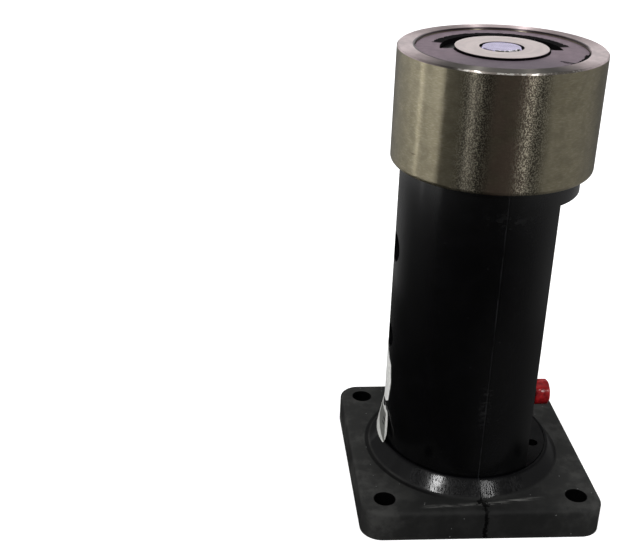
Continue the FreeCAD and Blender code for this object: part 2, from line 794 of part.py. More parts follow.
def make_ejector_spring():
    """Spring between the bore's floor and the underside of the pin's head."""
    height = dim("magnet_height")
    bottom = magnet_z + height - dim("pin_bore_depth")
    length = dim("pin_bore_depth") - dim("pin_head_height")
    place = FreeCAD.Placement(FreeCAD.Vector(0, 0, bottom.value), FreeCAD.Rotation())
    return coil_spring("ejector_spring", dim("pin_spring_diameter"), dim("pin_spring_wire"),
                       dim("pin_spring_turns"), length, place)


# Screw and washer under the deck
def make_magnet_fixing():
    """Socket screw from below through the deck into the core, with its washer."""
    washer_z = deck_z - dim("magnet_washer_thickness")
    shank = dim("core_thread") / 2
    washer = turned_piece("magnet_washer", [
        (shank + dim("bore_clearance"), 0), (dim("magnet_washer") / 2, 0),
        (dim("magnet_washer") / 2, dim("magnet_washer_thickness")),
        (shank + dim("bore_clearance"), dim("magnet_washer_thickness"))], washer_z)
    head, head_height = dim("magnet_screw_head") / 2, dim("magnet_screw_head_height")
    reach = (head_height + dim("magnet_washer_thickness") + dim("deck_thickness")
             + dim("magnet_screw_engagement"))
    screw = turned_piece("magnet_screw", [
        (0, 0), (head, 0), (head, head_height), (shank, head_height), (shank, reach), (0, reach)],
        washer_z - head_height)
    socket = new_sketch(screw, "XY_Plane", "screw_socket")
    across = dim("magnet_screw_socket") / 2
    corner = across * 2 / root(as_size(3))
    add_outline(socket, [
        (corner, 0), (corner / 2, across), (-corner / 2, across),
        (-corner, 0), (-corner / 2, -across), (corner / 2, -across)])
    pocket(screw, socket, "screw_socket_cut", dim("magnet_screw_socket_depth"), outward=True)
    return [washer, screw]


def make_joint_screws():
    """The two screws that hold the half shells together, heads in the left recesses."""
    screws = []
    head, shank = dim("joint_head") / 2, dim("joint_shank") / 2
    height, length = dim("joint_head_height"), dim("joint_screw_length")
    edge = dim("joint_head_edge")
    for level in ("upper", "lower"):
        screw = lying_piece(f"joint_screw_{level}", [
            (0, -height), (head - edge, -height), (head, edge - height), (head, 0),
            (shank, 0), (shank, length), (0, length)],
            -dim("recess_floor"), 0, joint_z[level])
        cut_drive(screw, f"joint_drive_{level}", -height, dim("joint_drive_length"),
                  dim("joint_drive_width"), dim("joint_drive_depth"))
        screws.append(screw)
    return screws


# Push button
bush_end = dim("flat_offset") + dim("bush_reach")
switch_front = flat_inner
cavity_back = dim("switch_back") + dim("switch_wall")
cap_back = bush_end + dim("button_travel") + dim("button_bush_gap")
plunger_seat = cap_back + dim("button_length") / 2


def make_switch_body():
    """Switch housing behind the flat with its threaded bush through the wall."""
    bore = dim("plunger_diameter") / 2 + dim("plunger_clearance")
    cavity = dim("switch_cavity") / 2
    body = lying_piece("switch_body", [
        (0, dim("switch_back")), (dim("switch_diameter") / 2, dim("switch_back")),
        (dim("switch_diameter") / 2, switch_front), (dim("bush_diameter") / 2, switch_front),
        (dim("bush_diameter") / 2, bush_end), (bore, bush_end),
        (bore, dim("switch_cavity_front")), (cavity, dim("switch_cavity_front")),
        (cavity, cavity_back), (0, cavity_back)], 0, 0, dim("button_z"))
    # In this body's own frame the tabs' plane lies across its axis.
    slots = new_sketch(body, "XY_Plane", "tab_slots", dim("switch_back"))
    for sign in (-1, 1):
        middle = dim("tab_pitch") / 2 * sign
        half_width, half_thick = dim("tab_width") / 2, dim("tab_thickness") / 2
        add_rectangle(slots, -half_width, middle - half_thick, half_width, middle + half_thick)
    pocket(body, slots, "tab_slot_cuts", dim("switch_wall"), outward=True)
    return body


def make_switch_tabs():
    """Two solder tabs through the back of the switch."""
    tabs = []
    for number, sign in ((1, -1), (2, 1)):
        tab = doc.addObject("Part::Box", f"switch_tab_{number}")
        tab.Label = f"switch_tab_{number}"
        bind(tab, "Length", dim("tab_length"))
        bind(tab, "Width", dim("tab_thickness"))
        bind(tab, "Height", dim("tab_width"))
        bind(tab, "Placement.Base.x", cavity_back - dim("tab_length"))
        bind(tab, "Placement.Base.y", dim("tab_pitch") / 2 * sign - dim("tab_thickness") / 2)
        bind(tab, "Placement.Base.z", dim("button_z") - dim("tab_width") / 2)
        tabs.append(tab)
    return tabs


def make_button_nut():
    """Hexagon nut on the bush, outside the flat."""
    body = new_body("button_nut")
    sketch = new_sketch(body, "YZ_Plane", "nut_outline", dim("flat_offset") + dim("washer_thickness"))
    across = dim("nut_across") / 2
    corner = across * 2 / root(as_size(3))
    z = dim("button_z")
    add_outline(sketch, [
        (0, z - corner), (across, z - corner / 2), (across, z + corner / 2),
        (0, z + corner), (-across, z + corner / 2), (-across, z - corner / 2)])
    add_circle(sketch, 0, z, dim("bush_diameter") / 2 + dim("thread_clearance"))
    pad(body, sketch, "nut_prism", dim("nut_thickness"))
    face = (dim("flat_offset") + dim("washer_thickness") + dim("nut_thickness")).value
    dress(body, "Chamfer", "nut_face_edge",
          lambda edge: isinstance(edge.Curve, Part.Line)
          and all(abs(vertex.X - face) < MATCH for vertex in edge.Vertexes), dim("nut_edge"))
    return body


def make_button_washer():
    """Washer between the nut and the flat."""
    inner = dim("bush_diameter") / 2 + dim("bore_clearance")
    start = dim("flat_offset")
    end = start + dim("washer_thickness")
    return lying_piece("button_washer", [
        (inner, start), (dim("washer_diameter") / 2, start),
        (dim("washer_diameter") / 2, end), (inner, end)], 0, 0, dim("button_z"))


def make_button():
    """Red cap and the plunger that carries it."""
    radius, front = dim("button_diameter") / 2, cap_back + dim("button_length")
    edge, crown = dim("button_edge"), dim("button_crown")
    plunger = dim("plunger_diameter") / 2
    cap = lying_piece("button_cap", [
        (plunger, cap_back), (radius - edge / 2, cap_back), (radius, cap_back + edge / 2),
        (radius, front - crown - edge), (radius - edge, front - crown),
        (radius / 2, front - crown / 4), (0, front),
        (0, plunger_seat), (plunger, plunger_seat)], 0, 0, dim("button_z"))
    collar_front = dim("switch_cavity_front") - dim("contact_gap")
    collar_back = dim("switch_cavity_front") - dim("plunger_collar_thickness")
    collar = dim("plunger_collar") / 2
    stem = lying_piece("button_plunger", [
        (0, dim("plunger_tip")), (plunger, dim("plunger_tip")), (plunger, collar_back),
        (collar, collar_back), (collar, collar_front), (plunger, collar_front),
        (plunger, plunger_seat), (0, plunger_seat)], 0, 0, dim("button_z"))
    return [cap, stem]


def make_button_spring():
    """Return spring between the back of the switch and the plunger's collar."""
    collar_back = dim("switch_cavity_front") - dim("plunger_collar_thickness")
    length = collar_back - cavity_back
    place = FreeCAD.Placement(
        FreeCAD.Vector(cavity_back.value, 0, dim("button_z").value), ALONG_X)
    diameter = (dim("plunger_diameter") + dim("switch_cavity")) / 2
    return coil_spring("button_spring", diameter, dim("button_spring_wire"),
                       dim("button_spring_turns"), length, place)


# Terminal block on its seat
block_front = dim("block_seat_y") - dim("block_depth")
block_top = dim("block_z") + dim("block_height")
port_y = block_front + dim("block_port_depth")
port_xs = [dim("block_x") + dim("block_pitch") / 2 * sign for sign in (-1, 1)]


def make_terminal_block():
    """Two-way block with lead ports through it and clamp screws at its front."""
    body = new_body("terminal_block")
    outline = new_sketch(body, "XY_Plane", "block_outline", dim("block_z"))
    half = dim("block_width") / 2
    add_rectangle(outline, dim("block_x") - half, block_front,
                  dim("block_x") + half, dim("block_seat_y"))
    pad(body, outline, "block_solid", dim("block_height"))
    ports = new_sketch(body, "XY_Plane", "block_ports", dim("block_z"))
    for x in port_xs:
        add_circle(ports, x, port_y, dim("block_port") / 2)
    pocket(body, ports, "block_port_bores", dim("block_height"), outward=True)
    middle = dim("block_z") + dim("block_height") / 2
    clamps = new_sketch(body, "XZ_Plane", "clamp_bores", -block_front)
    for x in port_xs:
        add_circle(clamps, x, middle, dim("clamp_screw") / 2 + dim("thread_clearance"))
    pocket(body, clamps, "clamp_bore_cuts", dim("clamp_depth"))
    fixing = new_sketch(body, "XZ_Plane", "block_fixing", -block_front)
    add_circle(fixing, dim("block_x"), middle, dim("block_screw") / 2 + dim("thread_clearance"))
    pocket(body, fixing, "block_fixing_bore", dim("block_depth"))
    return body


def make_block_screws():
    """The block's fixing screw and its two clamp screws."""
    middle = dim("block_z") + dim("block_height") / 2
    shank = dim("block_screw") / 2
    head, height = dim("block_screw_head") / 2, dim("block_screw_head_height")
    edge = dim("block_screw_edge")
    screws = [lying_piece("block_screw", [
        (0, -height), (head - edge, -height), (head, edge - height), (head, 0), (shank, 0),
        (shank, dim("block_screw_length")), (0, dim("block_screw_length"))],
        dim("block_x"), block_front, middle, ALONG_Y)]
    cut_drive(screws[0], "block_drive", -height, dim("block_drive_length"),
              dim("block_drive_width"), dim("block_drive_depth"))
    for number, x in enumerate(port_xs, start=1):
        screw = lying_piece(f"clamp_screw_{number}", [
            (0, -dim("clamp_proud")), (dim("clamp_screw") / 2, -dim("clamp_proud")),
            (dim("clamp_screw") / 2, dim("clamp_depth")), (0, dim("clamp_depth"))],
            x, block_front, middle, ALONG_Y)
        cut_drive(screw, f"clamp_drive_{number}", -dim("clamp_proud"), dim("clamp_screw") * 2,
                  dim("block_drive_width"), dim("block_drive_depth"), crossed=False)
        screws.append(screw)
    return screws


def make_diode():
    """Suppressor diode bridging the ports on top of the block."""
    radius, half = dim("diode_diameter") / 2, dim("diode_length") / 2
    reach = dim("block_pitch") / 2 - dim("lead_diameter") / 2 - dim("bore_clearance")
    wire = dim("diode_lead") / 2
    return lying_piece("suppressor_diode", [
        (0, -reach), (wire, -reach), (wire, -half), (radius, -half),
        (radius, half), (wire, half), (wire, reach), (0, reach)],
        dim("block_x"), port_y, block_top + radius + dim("contact_gap"))


# Insulated leads inside the post
def lead(label, points):
    """A round lead along straight runs joined by tangent arcs."""
    corners = [FreeCAD.Vector(*(as_size(value).value for value in point)) for point in points]
    bend = dim("lead_bend").value
    edges = []
    start = corners[0]
    for before, corner, after in zip(corners, corners[1:], corners[2:]):
        incoming = (corner - before).normalize()
        outgoing = (after - corner).normalize()
        turn = incoming.getAngle(outgoing)
        shorter = min((corner - before).Length, (after - corner).Length)
        cut = min(bend * math.tan(turn / 2), BEND_SHARE * shorter)
        first = corner - incoming * cut
        last = corner + outgoing * cut
        bisector = (outgoing - incoming).normalize()
        radius = cut / math.tan(turn / 2)
        middle = corner + bisector * (radius / math.cos(turn / 2) - radius)
        edges.append(Part.LineSegment(start, first).toShape())
        edges.append(Part.Arc(first, middle, last).toShape())
        start = last
    edges.append(Part.LineSegment(start, corners[-1]).toShape())
    path = Part.Wire(edges)
    heading = (corners[1] - corners[0]).normalize()
    section = Part.Wire([Part.Circle(corners[0], heading, dim("lead_diameter").value / 2).toShape()])
    piece = doc.addObject("Part::Feature", label)
    piece.Label = label
    piece.Shape = path.makePipeShell([section], True, False)
    piece.Placement = FreeCAD.Placement()
    return piece


def make_leads():
    """Leads from the coil to the block and from the block to the switch."""
    leads = []
    top = magnet_z + winding_bottom
    strip = dim("lead_strip")
    for number, (sign, x) in enumerate(zip((-1, 1), port_xs), start=1):
        start_x = dim("lead_bore_x") + dim("lead_spread") * sign
        leads.append(lead(f"coil_lead_{number}", [
            (start_x, dim("lead_bore_y"), top),
            (start_x, dim("lead_bore_y"), deck_z - dim("coil_lead_drop")),
            (x, port_y, block_top + dim("coil_lead_approach")),
            (x, port_y, block_top - strip)]))
    tab_end = cavity_back - dim("tab_length")
    for number, (sign, x) in enumerate(zip((-1, 1), port_xs), start=1):
        tab_face = dim("tab_pitch") / 2 * sign + dim("tab_thickness") / 2
        lead_y = tab_face + dim("lead_diameter") / 2 + dim("contact_gap")
        leads.append(lead(f"switch_lead_{number}", [
            (x, port_y, dim("block_z") + strip),
            (x, port_y, dim("block_z") - dim("switch_lead_drop")),
            (x, lead_y, dim("button_z") + dim("switch_lead_approach")),
            (x + dim("switch_lead_turn"), lead_y, dim("button_z")),
            (tab_end + dim("switch_lead_end"), lead_y, dim("button_z"))]))
    return leads


# Label on the left side of the post, its lower end curled over the foot
def make_side_label():
    """A thin sheet on the post, narrowed by a notch, whose lower end lies on the foot's crown."""
    body = new_body("side_label")
    section = new_sketch(body, "XZ_Plane", "label_section")
    thick = dim("label_thickness")
    near = post_radius + dim("contact_gap")
    rest = ledge_z + dim("contact_gap")
    curl, tip = near + dim("label_fold"), near + dim("label_reach")
    add_outline(section, [
        (-near, dim("label_top")), (-near, dim("label_curl")),
        (thick * 2 - curl, rest + thick), (-curl, rest), (-tip, rest), (-tip, rest + thick),
        (-(curl + thick), rest + thick), (-(near + thick), dim("label_curl")),
        (-(near + thick), dim("label_top"))])
    revolve(body, section, "label_band", dim("label_front_angle"), dim("label_back_angle"))
    notch = new_sketch(body, "YZ_Plane", "label_notch")
    front = dim("label_notch_depth")
    add_outline(notch, [
        (-front, dim("label_notch_top")), (dim("label_notch_tip"), dim("label_notch_middle")),
        (-front, dim("label_notch_bottom"))])
    pocket(body, notch, "label_notch_cut", dim("post_diameter"))
    return body


pedestal_form = make_pedestal_form()
pieces = [half_of(pedestal_form, "housing_left", -1), half_of(pedestal_form, "housing_right", 1)]
pieces.append(make_magnet_shell())
pieces.append(make_pole_core())
pieces.extend(make_coil())
pieces.append(make_pole_cover())
pieces.extend(make_ejector_pin())
pieces.append(make_ejector_spring())
pieces.extend(make_magnet_fixing())
pieces.extend(make_joint_screws())
pieces.append(make_switch_body())
pieces.extend(make_switch_tabs())
pieces.append(make_button_nut())
pieces.append(make_button_washer())
pieces.extend(make_button())
pieces.append(make_button_spring())
pieces.append(make_terminal_block())
pieces.extend(make_block_screws())
pieces.append(make_diode())
pieces.extend(make_leads())
pieces.append(make_side_label())

doc.recompute()

# Checks before anything is written
for thing in doc.Objects:
    if "Invalid" in thing.State or "Error" in thing.State:
        raise RuntimeError(f"{thing.Label} did not compute: {thing.State}")
for piece in pieces:
    shape = piece.Shape
    if shape.isNull() or not shape.isValid() or not shape.Solids:
        raise RuntimeError(f"{piece.Label} has no valid solid")
    print(f"{piece.Label}: {len(shape.Solids)} solid, {shape.Volume:.1f} mm3")

for piece in pieces:
    piece.Shape.exportStep(f"parts/{piece.Label}.step")
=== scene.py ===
import math

import bmesh
import bpy
from mathutils import Matrix, Vector


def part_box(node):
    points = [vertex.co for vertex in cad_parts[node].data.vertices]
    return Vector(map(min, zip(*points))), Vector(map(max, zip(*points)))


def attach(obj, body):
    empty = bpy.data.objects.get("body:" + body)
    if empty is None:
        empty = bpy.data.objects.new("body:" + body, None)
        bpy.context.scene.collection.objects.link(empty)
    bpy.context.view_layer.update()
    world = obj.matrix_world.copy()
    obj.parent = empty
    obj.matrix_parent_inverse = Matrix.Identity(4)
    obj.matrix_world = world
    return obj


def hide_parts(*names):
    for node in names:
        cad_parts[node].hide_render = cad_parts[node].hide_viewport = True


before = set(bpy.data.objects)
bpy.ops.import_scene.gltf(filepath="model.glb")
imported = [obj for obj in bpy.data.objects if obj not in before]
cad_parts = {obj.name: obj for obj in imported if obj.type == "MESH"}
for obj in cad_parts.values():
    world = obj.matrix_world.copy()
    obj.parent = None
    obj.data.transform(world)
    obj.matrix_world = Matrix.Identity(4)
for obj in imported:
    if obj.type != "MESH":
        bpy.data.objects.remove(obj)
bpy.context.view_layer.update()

MM = 0.001

# Levels and radii of the solids, read from the frame where a piece's box gives them
MAGNET_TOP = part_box("magnet_shell")[1].z
MAGNET_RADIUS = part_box("magnet_shell")[1].x
SHELL_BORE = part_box("pole_cover")[1].x
COVER_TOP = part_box("pole_cover")[1].z
PIN_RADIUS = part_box("ejector_pin")[1].x
FOOT_TOE = 37.9 * MM
POST_RADIUS = 31.75 * MM
FLANGE_TOP = 12.0 * MM
LEDGE_TOP = 18.0 * MM
BUTTON_Z = 35.5 * MM
HOLE_PLACE = 36.0 * MM
HOLE_RADIUS = 4.0 * MM


# Node trees
class Net:
    """Adds nodes to one tree and feeds their sockets."""

    def __init__(self, tree):
        self.tree = tree

    def node(self, kind, feeds=None, **settings):
        made = self.tree.nodes.new(kind)
        for name, value in settings.items():
            setattr(made, name, value)
        for name, value in (feeds or {}).items():
            self.feed(made, name, value)
        return made

    def feed(self, node, name, value):
        socket = node.inputs[name]
        if isinstance(value, bpy.types.NodeSocket):
            self.tree.links.new(value, socket)
        else:
            socket.default_value = value

    def math(self, operation, first, second=0.0, clamp=False):
        made = self.node("ShaderNodeMath", {0: first, 1: second}, operation=operation, use_clamp=clamp)
        return made.outputs[0]

    def place(self):
        """Object coordinates as one vector, and apart."""
        vector = self.node("ShaderNodeTexCoord").outputs["Object"]
        parts = self.node("ShaderNodeSeparateXYZ", {"Vector": vector}).outputs
        return vector, parts["X"], parts["Y"], parts["Z"]

    def radius(self, x, y):
        """Distance from a vertical axis."""
        return self.math("SQRT", self.total(self.product(x, x), self.product(y, y)))

    def direction(self, x, y):
        """Direction round the vertical axis in degrees, from -180 to 180."""
        return self.math("DEGREES", self.math("ARCTAN2", y, x))

    def product(self, *values):
        """All the values multiplied together."""
        result = values[0]
        for value in values[1:]:
            result = self.math("MULTIPLY", result, value)
        return result

    def total(self, *values):
        """All the values added together."""
        result = values[0]
        for value in values[1:]:
            result = self.math("ADD", result, value)
        return result

    def vector(self, x, y, z):
        return self.node("ShaderNodeCombineXYZ", {"X": x, "Y": y, "Z": z}).outputs["Vector"]

    def noise(self, vector, scale, detail=2.0, roughness=0.5):
        made = self.node("ShaderNodeTexNoise", {
            "Vector": vector, "Scale": scale, "Detail": detail, "Roughness": roughness})
        return made.outputs["Fac"]

    def spread(self, value, low, high, to_low=0.0, to_high=1.0):
        """A value carried from one range to another, smoothly and within its ends."""
        made = self.node("ShaderNodeMapRange", {
            "Value": value, "From Min": low, "From Max": high, "To Min": to_low, "To Max": to_high},
            interpolation_type="SMOOTHSTEP")
        return made.outputs["Result"]

    def mix(self, factor, first, second):
        made = self.node("ShaderNodeMix", data_type="RGBA")
        self.feed(made, "Factor", factor)
        sockets = [socket for socket in made.inputs if socket.type == "RGBA"]
        for socket, value in zip(sockets, (first, second)):
            if isinstance(value, bpy.types.NodeSocket):
                self.tree.links.new(value, socket)
            else:
                socket.default_value = (*value, 1.0)
        return [socket for socket in made.outputs if socket.type == "RGBA"][0]

    def ramp(self, factor, stops):
        made = self.node("ShaderNodeValToRGB", {"Fac": factor})
        points = made.color_ramp.elements
        while len(points) < len(stops):
            points.new(0.5)
        for point, (position, colour) in zip(points, stops):
            point.position = position
            point.color = (*colour, 1.0)
        return made.outputs["Color"]

    def bump(self, height, distance, strength):
        made = self.node("ShaderNodeBump", {
            "Height": height, "Distance": distance, "Strength": strength})
        return made.outputs["Normal"]


FLOAT = "NodeSocketFloat"


def node_group(name, inputs, outputs):
    """An empty shader group with named sockets: inputs with their defaults, and outputs."""
    group = bpy.data.node_groups.new(name, "ShaderNodeTree")
    for label, kind, default in inputs:
        socket = group.interface.new_socket(label, in_out="INPUT", socket_type=kind)
        socket.default_value = default
    for label, kind in outputs:
        group.interface.new_socket(label, in_out="OUTPUT", socket_type=kind)
    net = Net(group)
    return group, net, net.node("NodeGroupInput").outputs, net.node("NodeGroupOutput")


# Broad streaks beside the fine turned lines: their shares of the lines' closeness
BROAD_ALONG = 0.4
BROAD_ACROSS = 0.12


def make_turned_lines():
    """Fine lines left by turning about the vertical axis, on round sides and on faces."""
    group, net, given, out = node_group(
        "turned_lines", [("Along", FLOAT, 60.0), ("Across", FLOAT, 4000.0)],
        [("Lines", FLOAT), ("Streaks", FLOAT)])
    _, x, y, z = net.place()
    level = net.product(net.total(z, net.radius(x, y)), given["Across"])
    around_x, around_y = net.product(x, given["Along"]), net.product(y, given["Along"])
    fine = net.noise(net.vector(around_x, around_y, level), 1.0, 3.0, 0.6)
    broad = net.noise(net.vector(net.product(around_x, BROAD_ALONG), net.product(around_y, BROAD_ALONG),
                                 net.product(level, BROAD_ACROSS)), 1.0)
    net.feed(out, "Lines", fine)
    net.feed(out, "Streaks", broad)
    return group


def make_moulded_skin():
    """Soft waviness and fine texture of moulded plastic, and an uneven tone."""
    group, net, given, out = node_group(
        "moulded_skin", [("Wave", FLOAT, 60.0), ("Grain", FLOAT, 2600.0), ("Amount", FLOAT, 0.3)],
        [("Height", FLOAT), ("Mottle", FLOAT)])
    vector = net.place()[0]
    wave = net.noise(vector, given["Wave"], 2.0)
    grain = net.noise(vector, given["Grain"], 2.0)
    net.feed(out, "Height", net.total(wave, net.product(grain, given["Amount"])))
    net.feed(out, "Mottle", net.noise(vector, net.product(given["Wave"], 2.2), 5.0, 0.65))
    return group


# Share of the dust's cells that stay empty
DUST_EMPTY = 0.72


def make_dust():
    """Scattered round specks."""
    group, net, given, out = node_group(
        "dust", [("Scale", FLOAT, 260.0), ("Share", FLOAT, 0.1)], [("Mask", FLOAT)])
    vector = net.place()[0]
    cells = net.node("ShaderNodeTexVoronoi", {
        "Vector": vector, "Scale": given["Scale"], "Randomness": 1.0})
    near = net.math("LESS_THAN", cells.outputs["Distance"], given["Share"])
    shares = net.node("ShaderNodeSeparateColor", {"Color": cells.outputs["Color"]}).outputs
    chosen = net.math("GREATER_THAN", shares["Red"], DUST_EMPTY)
    net.feed(out, "Mask", net.product(near, chosen))
    return group


# Strokes of a scuff to the metre, across the front and into it
STROKES_ACROSS = 260.0
STROKES_INWARD = 60.0


def make_scuff():
    """Short strokes in one patch of the front: its middle height, half height, place and half width
    across, and its strokes to the metre of height."""
    group, net, given, out = node_group(
        "scuff", [("Middle", FLOAT, 0.05), ("Half", FLOAT, 0.01), ("Across", FLOAT, 0.0),
                  ("Width", FLOAT, 0.004), ("Strokes", FLOAT, 900.0)], [("Mask", FLOAT)])
    _, x, y, z = net.place()
    level = net.math("ABSOLUTE", net.math("SUBTRACT", z, given["Middle"]))
    tall = net.math("SUBTRACT", 1.0, net.math("DIVIDE", level, given["Half"]), clamp=True)
    aside = net.math("ABSOLUTE", net.math("SUBTRACT", x, given["Across"]))
    wide = net.math("SUBTRACT", 1.0, net.math("DIVIDE", aside, given["Width"]), clamp=True)
    strokes = net.noise(net.vector(net.product(x, STROKES_ACROSS), net.product(y, STROKES_INWARD),
                                   net.product(z, given["Strokes"])), 1.0, 3.0, 0.7)
    front = net.math("LESS_THAN", y, 0.0)
    net.feed(out, "Mask", net.product(tall, wide, front, net.spread(strokes, 0.5, 0.66)))
    return group


TURNED_LINES = make_turned_lines()
SCUFF = make_scuff()
MOULDED_SKIN = make_moulded_skin()
DUST = make_dust()


def new_material(name, **plain):
    """A material with its net and shader, and with the values that are the same all over."""
    material = bpy.data.materials.new(name)
    material.use_nodes = True
    shader = material.node_tree.nodes["Principled BSDF"]
    for label, value in plain.items():
        shader.inputs[label.replace("_", " ")].default_value = value
    return material, Net(material.node_tree), shader


def group_node(net, group, **values):
    made = net.node("ShaderNodeGroup", node_tree=group)
    for label, value in values.items():
        net.feed(made, label, value)
    return made.outputs


def band(net, value, middle, half, soft):
    """One inside a band of a value and nothing outside, with soft edges."""
    distance = net.math("ABSOLUTE", net.math("SUBTRACT", value, middle))
    return net.spread(distance, half, net.total(half, soft), 1.0, 0.0)


# Pedestal finish. Spans run from one end to the other; bands are a middle, a half width and a soft edge.
# Directions are in degrees. Noise is in waves to the metre, and for the streaks round the foot to the
# degree. The toe's line of painted shade is on the left, and all other marks are at the front.
# Black of the half shells' joint, and of painted shade in the flange's holes.
JOINT_AND_HOLE_SHADE_BLACK = (0.0002, 0.0002, 0.0002)
FLANGE_SPAN = (FLANGE_TOP + 0.2 * MM, FLANGE_TOP + 1.2 * MM)
FOOT_SPAN = (LEDGE_TOP - 1 * MM, LEDGE_TOP - 0.3 * MM)
POST_SPAN = (LEDGE_TOP + 0.1 * MM, LEDGE_TOP + 0.6 * MM)
FOOT_CLEAR = 0.25 * MM
LIGHTER_ASIDE_SPAN = (18 * MM, 44 * MM)
TOE_SHADE_BAND = (FOOT_TOE + 0.2 * MM, 0.45 * MM, 0.6 * MM)
TOE_SHADE_SPAN = (-12 * MM, -22 * MM)
LIP_BAND = (-0.5 * MM, 0.1 * MM, 0.2 * MM)
LOW_SCUFF = dict(Middle=49 * MM, Half=10 * MM, Across=-0.7 * MM, Width=2.6 * MM, Strokes=900.0)
HIGH_SCUFF = dict(Middle=121 * MM, Half=5 * MM, Across=1 * MM, Width=12 * MM, Strokes=300.0)
HIGHLIGHT_LINE_SLOPES = (0.04, 0.14)
HIGHLIGHT_LINE_PLACES = (-40.2 * MM, -40.1 * MM)
HIGHLIGHT_LINE_BAND = (0.0, 0.25 * MM, 1.1 * MM)
HIGHLIGHT_LINE_SPAN = (17 * MM, 25 * MM)
CHIPPED_SPAN = (-36.5 * MM, -38.5 * MM)
BLOT_BAND = (-39.8 * MM, 1.0 * MM, 1.4 * MM)
CHIP_REACH, BLOT_REACH = 1.2 * MM, 2.2 * MM
SEAM_HALF, SEAM_SOFT = 0.14 * MM, 0.12 * MM
SEAM_BEND_SPAN = (-39 * MM, -41 * MM)
SEAM_BEND = (-0.5 * MM, 0.4 * MM)
HOLE_SHADE_SPAN = (HOLE_RADIUS + 0.05 * MM, HOLE_RADIUS + 0.15 * MM)
STREAKS_ROUND = 1.3
STREAKS_DOWN = 650.0
CLUMPS = 420.0
BRIGHT_LEFT_SPAN = (-106.0, -98.0)
DARK_LEFT_SPAN = (-148.0, -128.0)
STREAKED_BAND = (-98.0, 32.0, 8.0)
PLAIN_COAT = 0.4


def housing_marks(net, place, flange, smudge, colour):
    """The toe's line of painted shade on the left, a lip and strokes beside the joint, a painted highlight
    line across the flange.
    """
    x, y, z, aside, radius = place
    # Painted shade: a dark line along the foot's toe on the left.
    toe_shade = net.product(band(net, radius, *TOE_SHADE_BAND), net.spread(x, *TOE_SHADE_SPAN), flange)
    colour = net.mix(net.product(toe_shade, 0.85), colour, (0.0008, 0.0008, 0.001))
    lip = band(net, x, *LIP_BAND)
    colour = net.mix(net.product(lip, smudge, 0.5), colour, (0.028, 0.028, 0.032))
    low_scuff = group_node(net, SCUFF, **LOW_SCUFF)["Mask"]
    high_scuff = group_node(net, SCUFF, **HIGH_SCUFF)["Mask"]
    scuffs = net.total(low_scuff, net.product(high_scuff, 0.35))
    colour = net.mix(net.product(scuffs, 0.85), colour, (0.024, 0.024, 0.024))
    # Painted highlight: a broken light line across the front of the flange.
    level = net.math("MAXIMUM", *[net.total(net.product(x, slope), middle)
                                  for slope, middle in zip(HIGHLIGHT_LINE_SLOPES, HIGHLIGHT_LINE_PLACES)])
    drawn_out = net.vector(net.product(x, 130.0), net.product(y, 1500.0), z)
    broken = net.spread(net.noise(drawn_out, 1.0, 3.0, 0.65), 0.42, 0.62)
    highlight_line = net.product(band(net, net.math("SUBTRACT", y, level), *HIGHLIGHT_LINE_BAND),
                          net.spread(aside, *HIGHLIGHT_LINE_SPAN, 1.0, 0.0), broken, flange)
    return lip, net.mix(net.product(highlight_line, 0.8), colour, (0.13, 0.13, 0.125))


def housing_seam(net, vector, x, y, flange):
    """The joint of the half shells, chipped at the front of the flange."""
    ragged = net.spread(net.noise(vector, 900.0, 3.0, 0.7), 0.35, 0.7)
    chipped_and_edge_lit = net.product(flange, net.spread(y, *CHIPPED_SPAN))
    reach = net.total(CHIP_REACH, net.product(band(net, y, *BLOT_BAND), BLOT_REACH))
    half = net.total(SEAM_HALF, net.product(chipped_and_edge_lit, ragged, reach))
    bend = net.product(chipped_and_edge_lit, net.spread(y, *SEAM_BEND_SPAN, *SEAM_BEND))
    return band(net, net.math("SUBTRACT", x, bend), 0.0, half, SEAM_SOFT)


def foot_gloss(net, vector, turn, radius):
    """Gloss of the foot, broken into streaks down its slope at the front, and the streaks alone."""
    down_slope = net.vector(net.product(turn, STREAKS_ROUND), net.product(radius, STREAKS_DOWN), 0.0)
    streaks = net.product(net.spread(net.noise(down_slope, 1.0, 3.0, 0.7), 0.42, 0.54),
                          net.spread(net.noise(vector, CLUMPS, 1.0), 0.34, 0.48, 0.25, 1.0),
                          net.spread(turn, *BRIGHT_LEFT_SPAN, 1.7, 0.75))
    streaked = band(net, turn, *STREAKED_BAND)
    gloss = net.total(PLAIN_COAT, net.product(net.math("SUBTRACT", streaks, PLAIN_COAT), streaked))
    return net.product(net.spread(turn, *DARK_LEFT_SPAN, 0.15, 1.0), gloss), net.product(streaked, streaks)


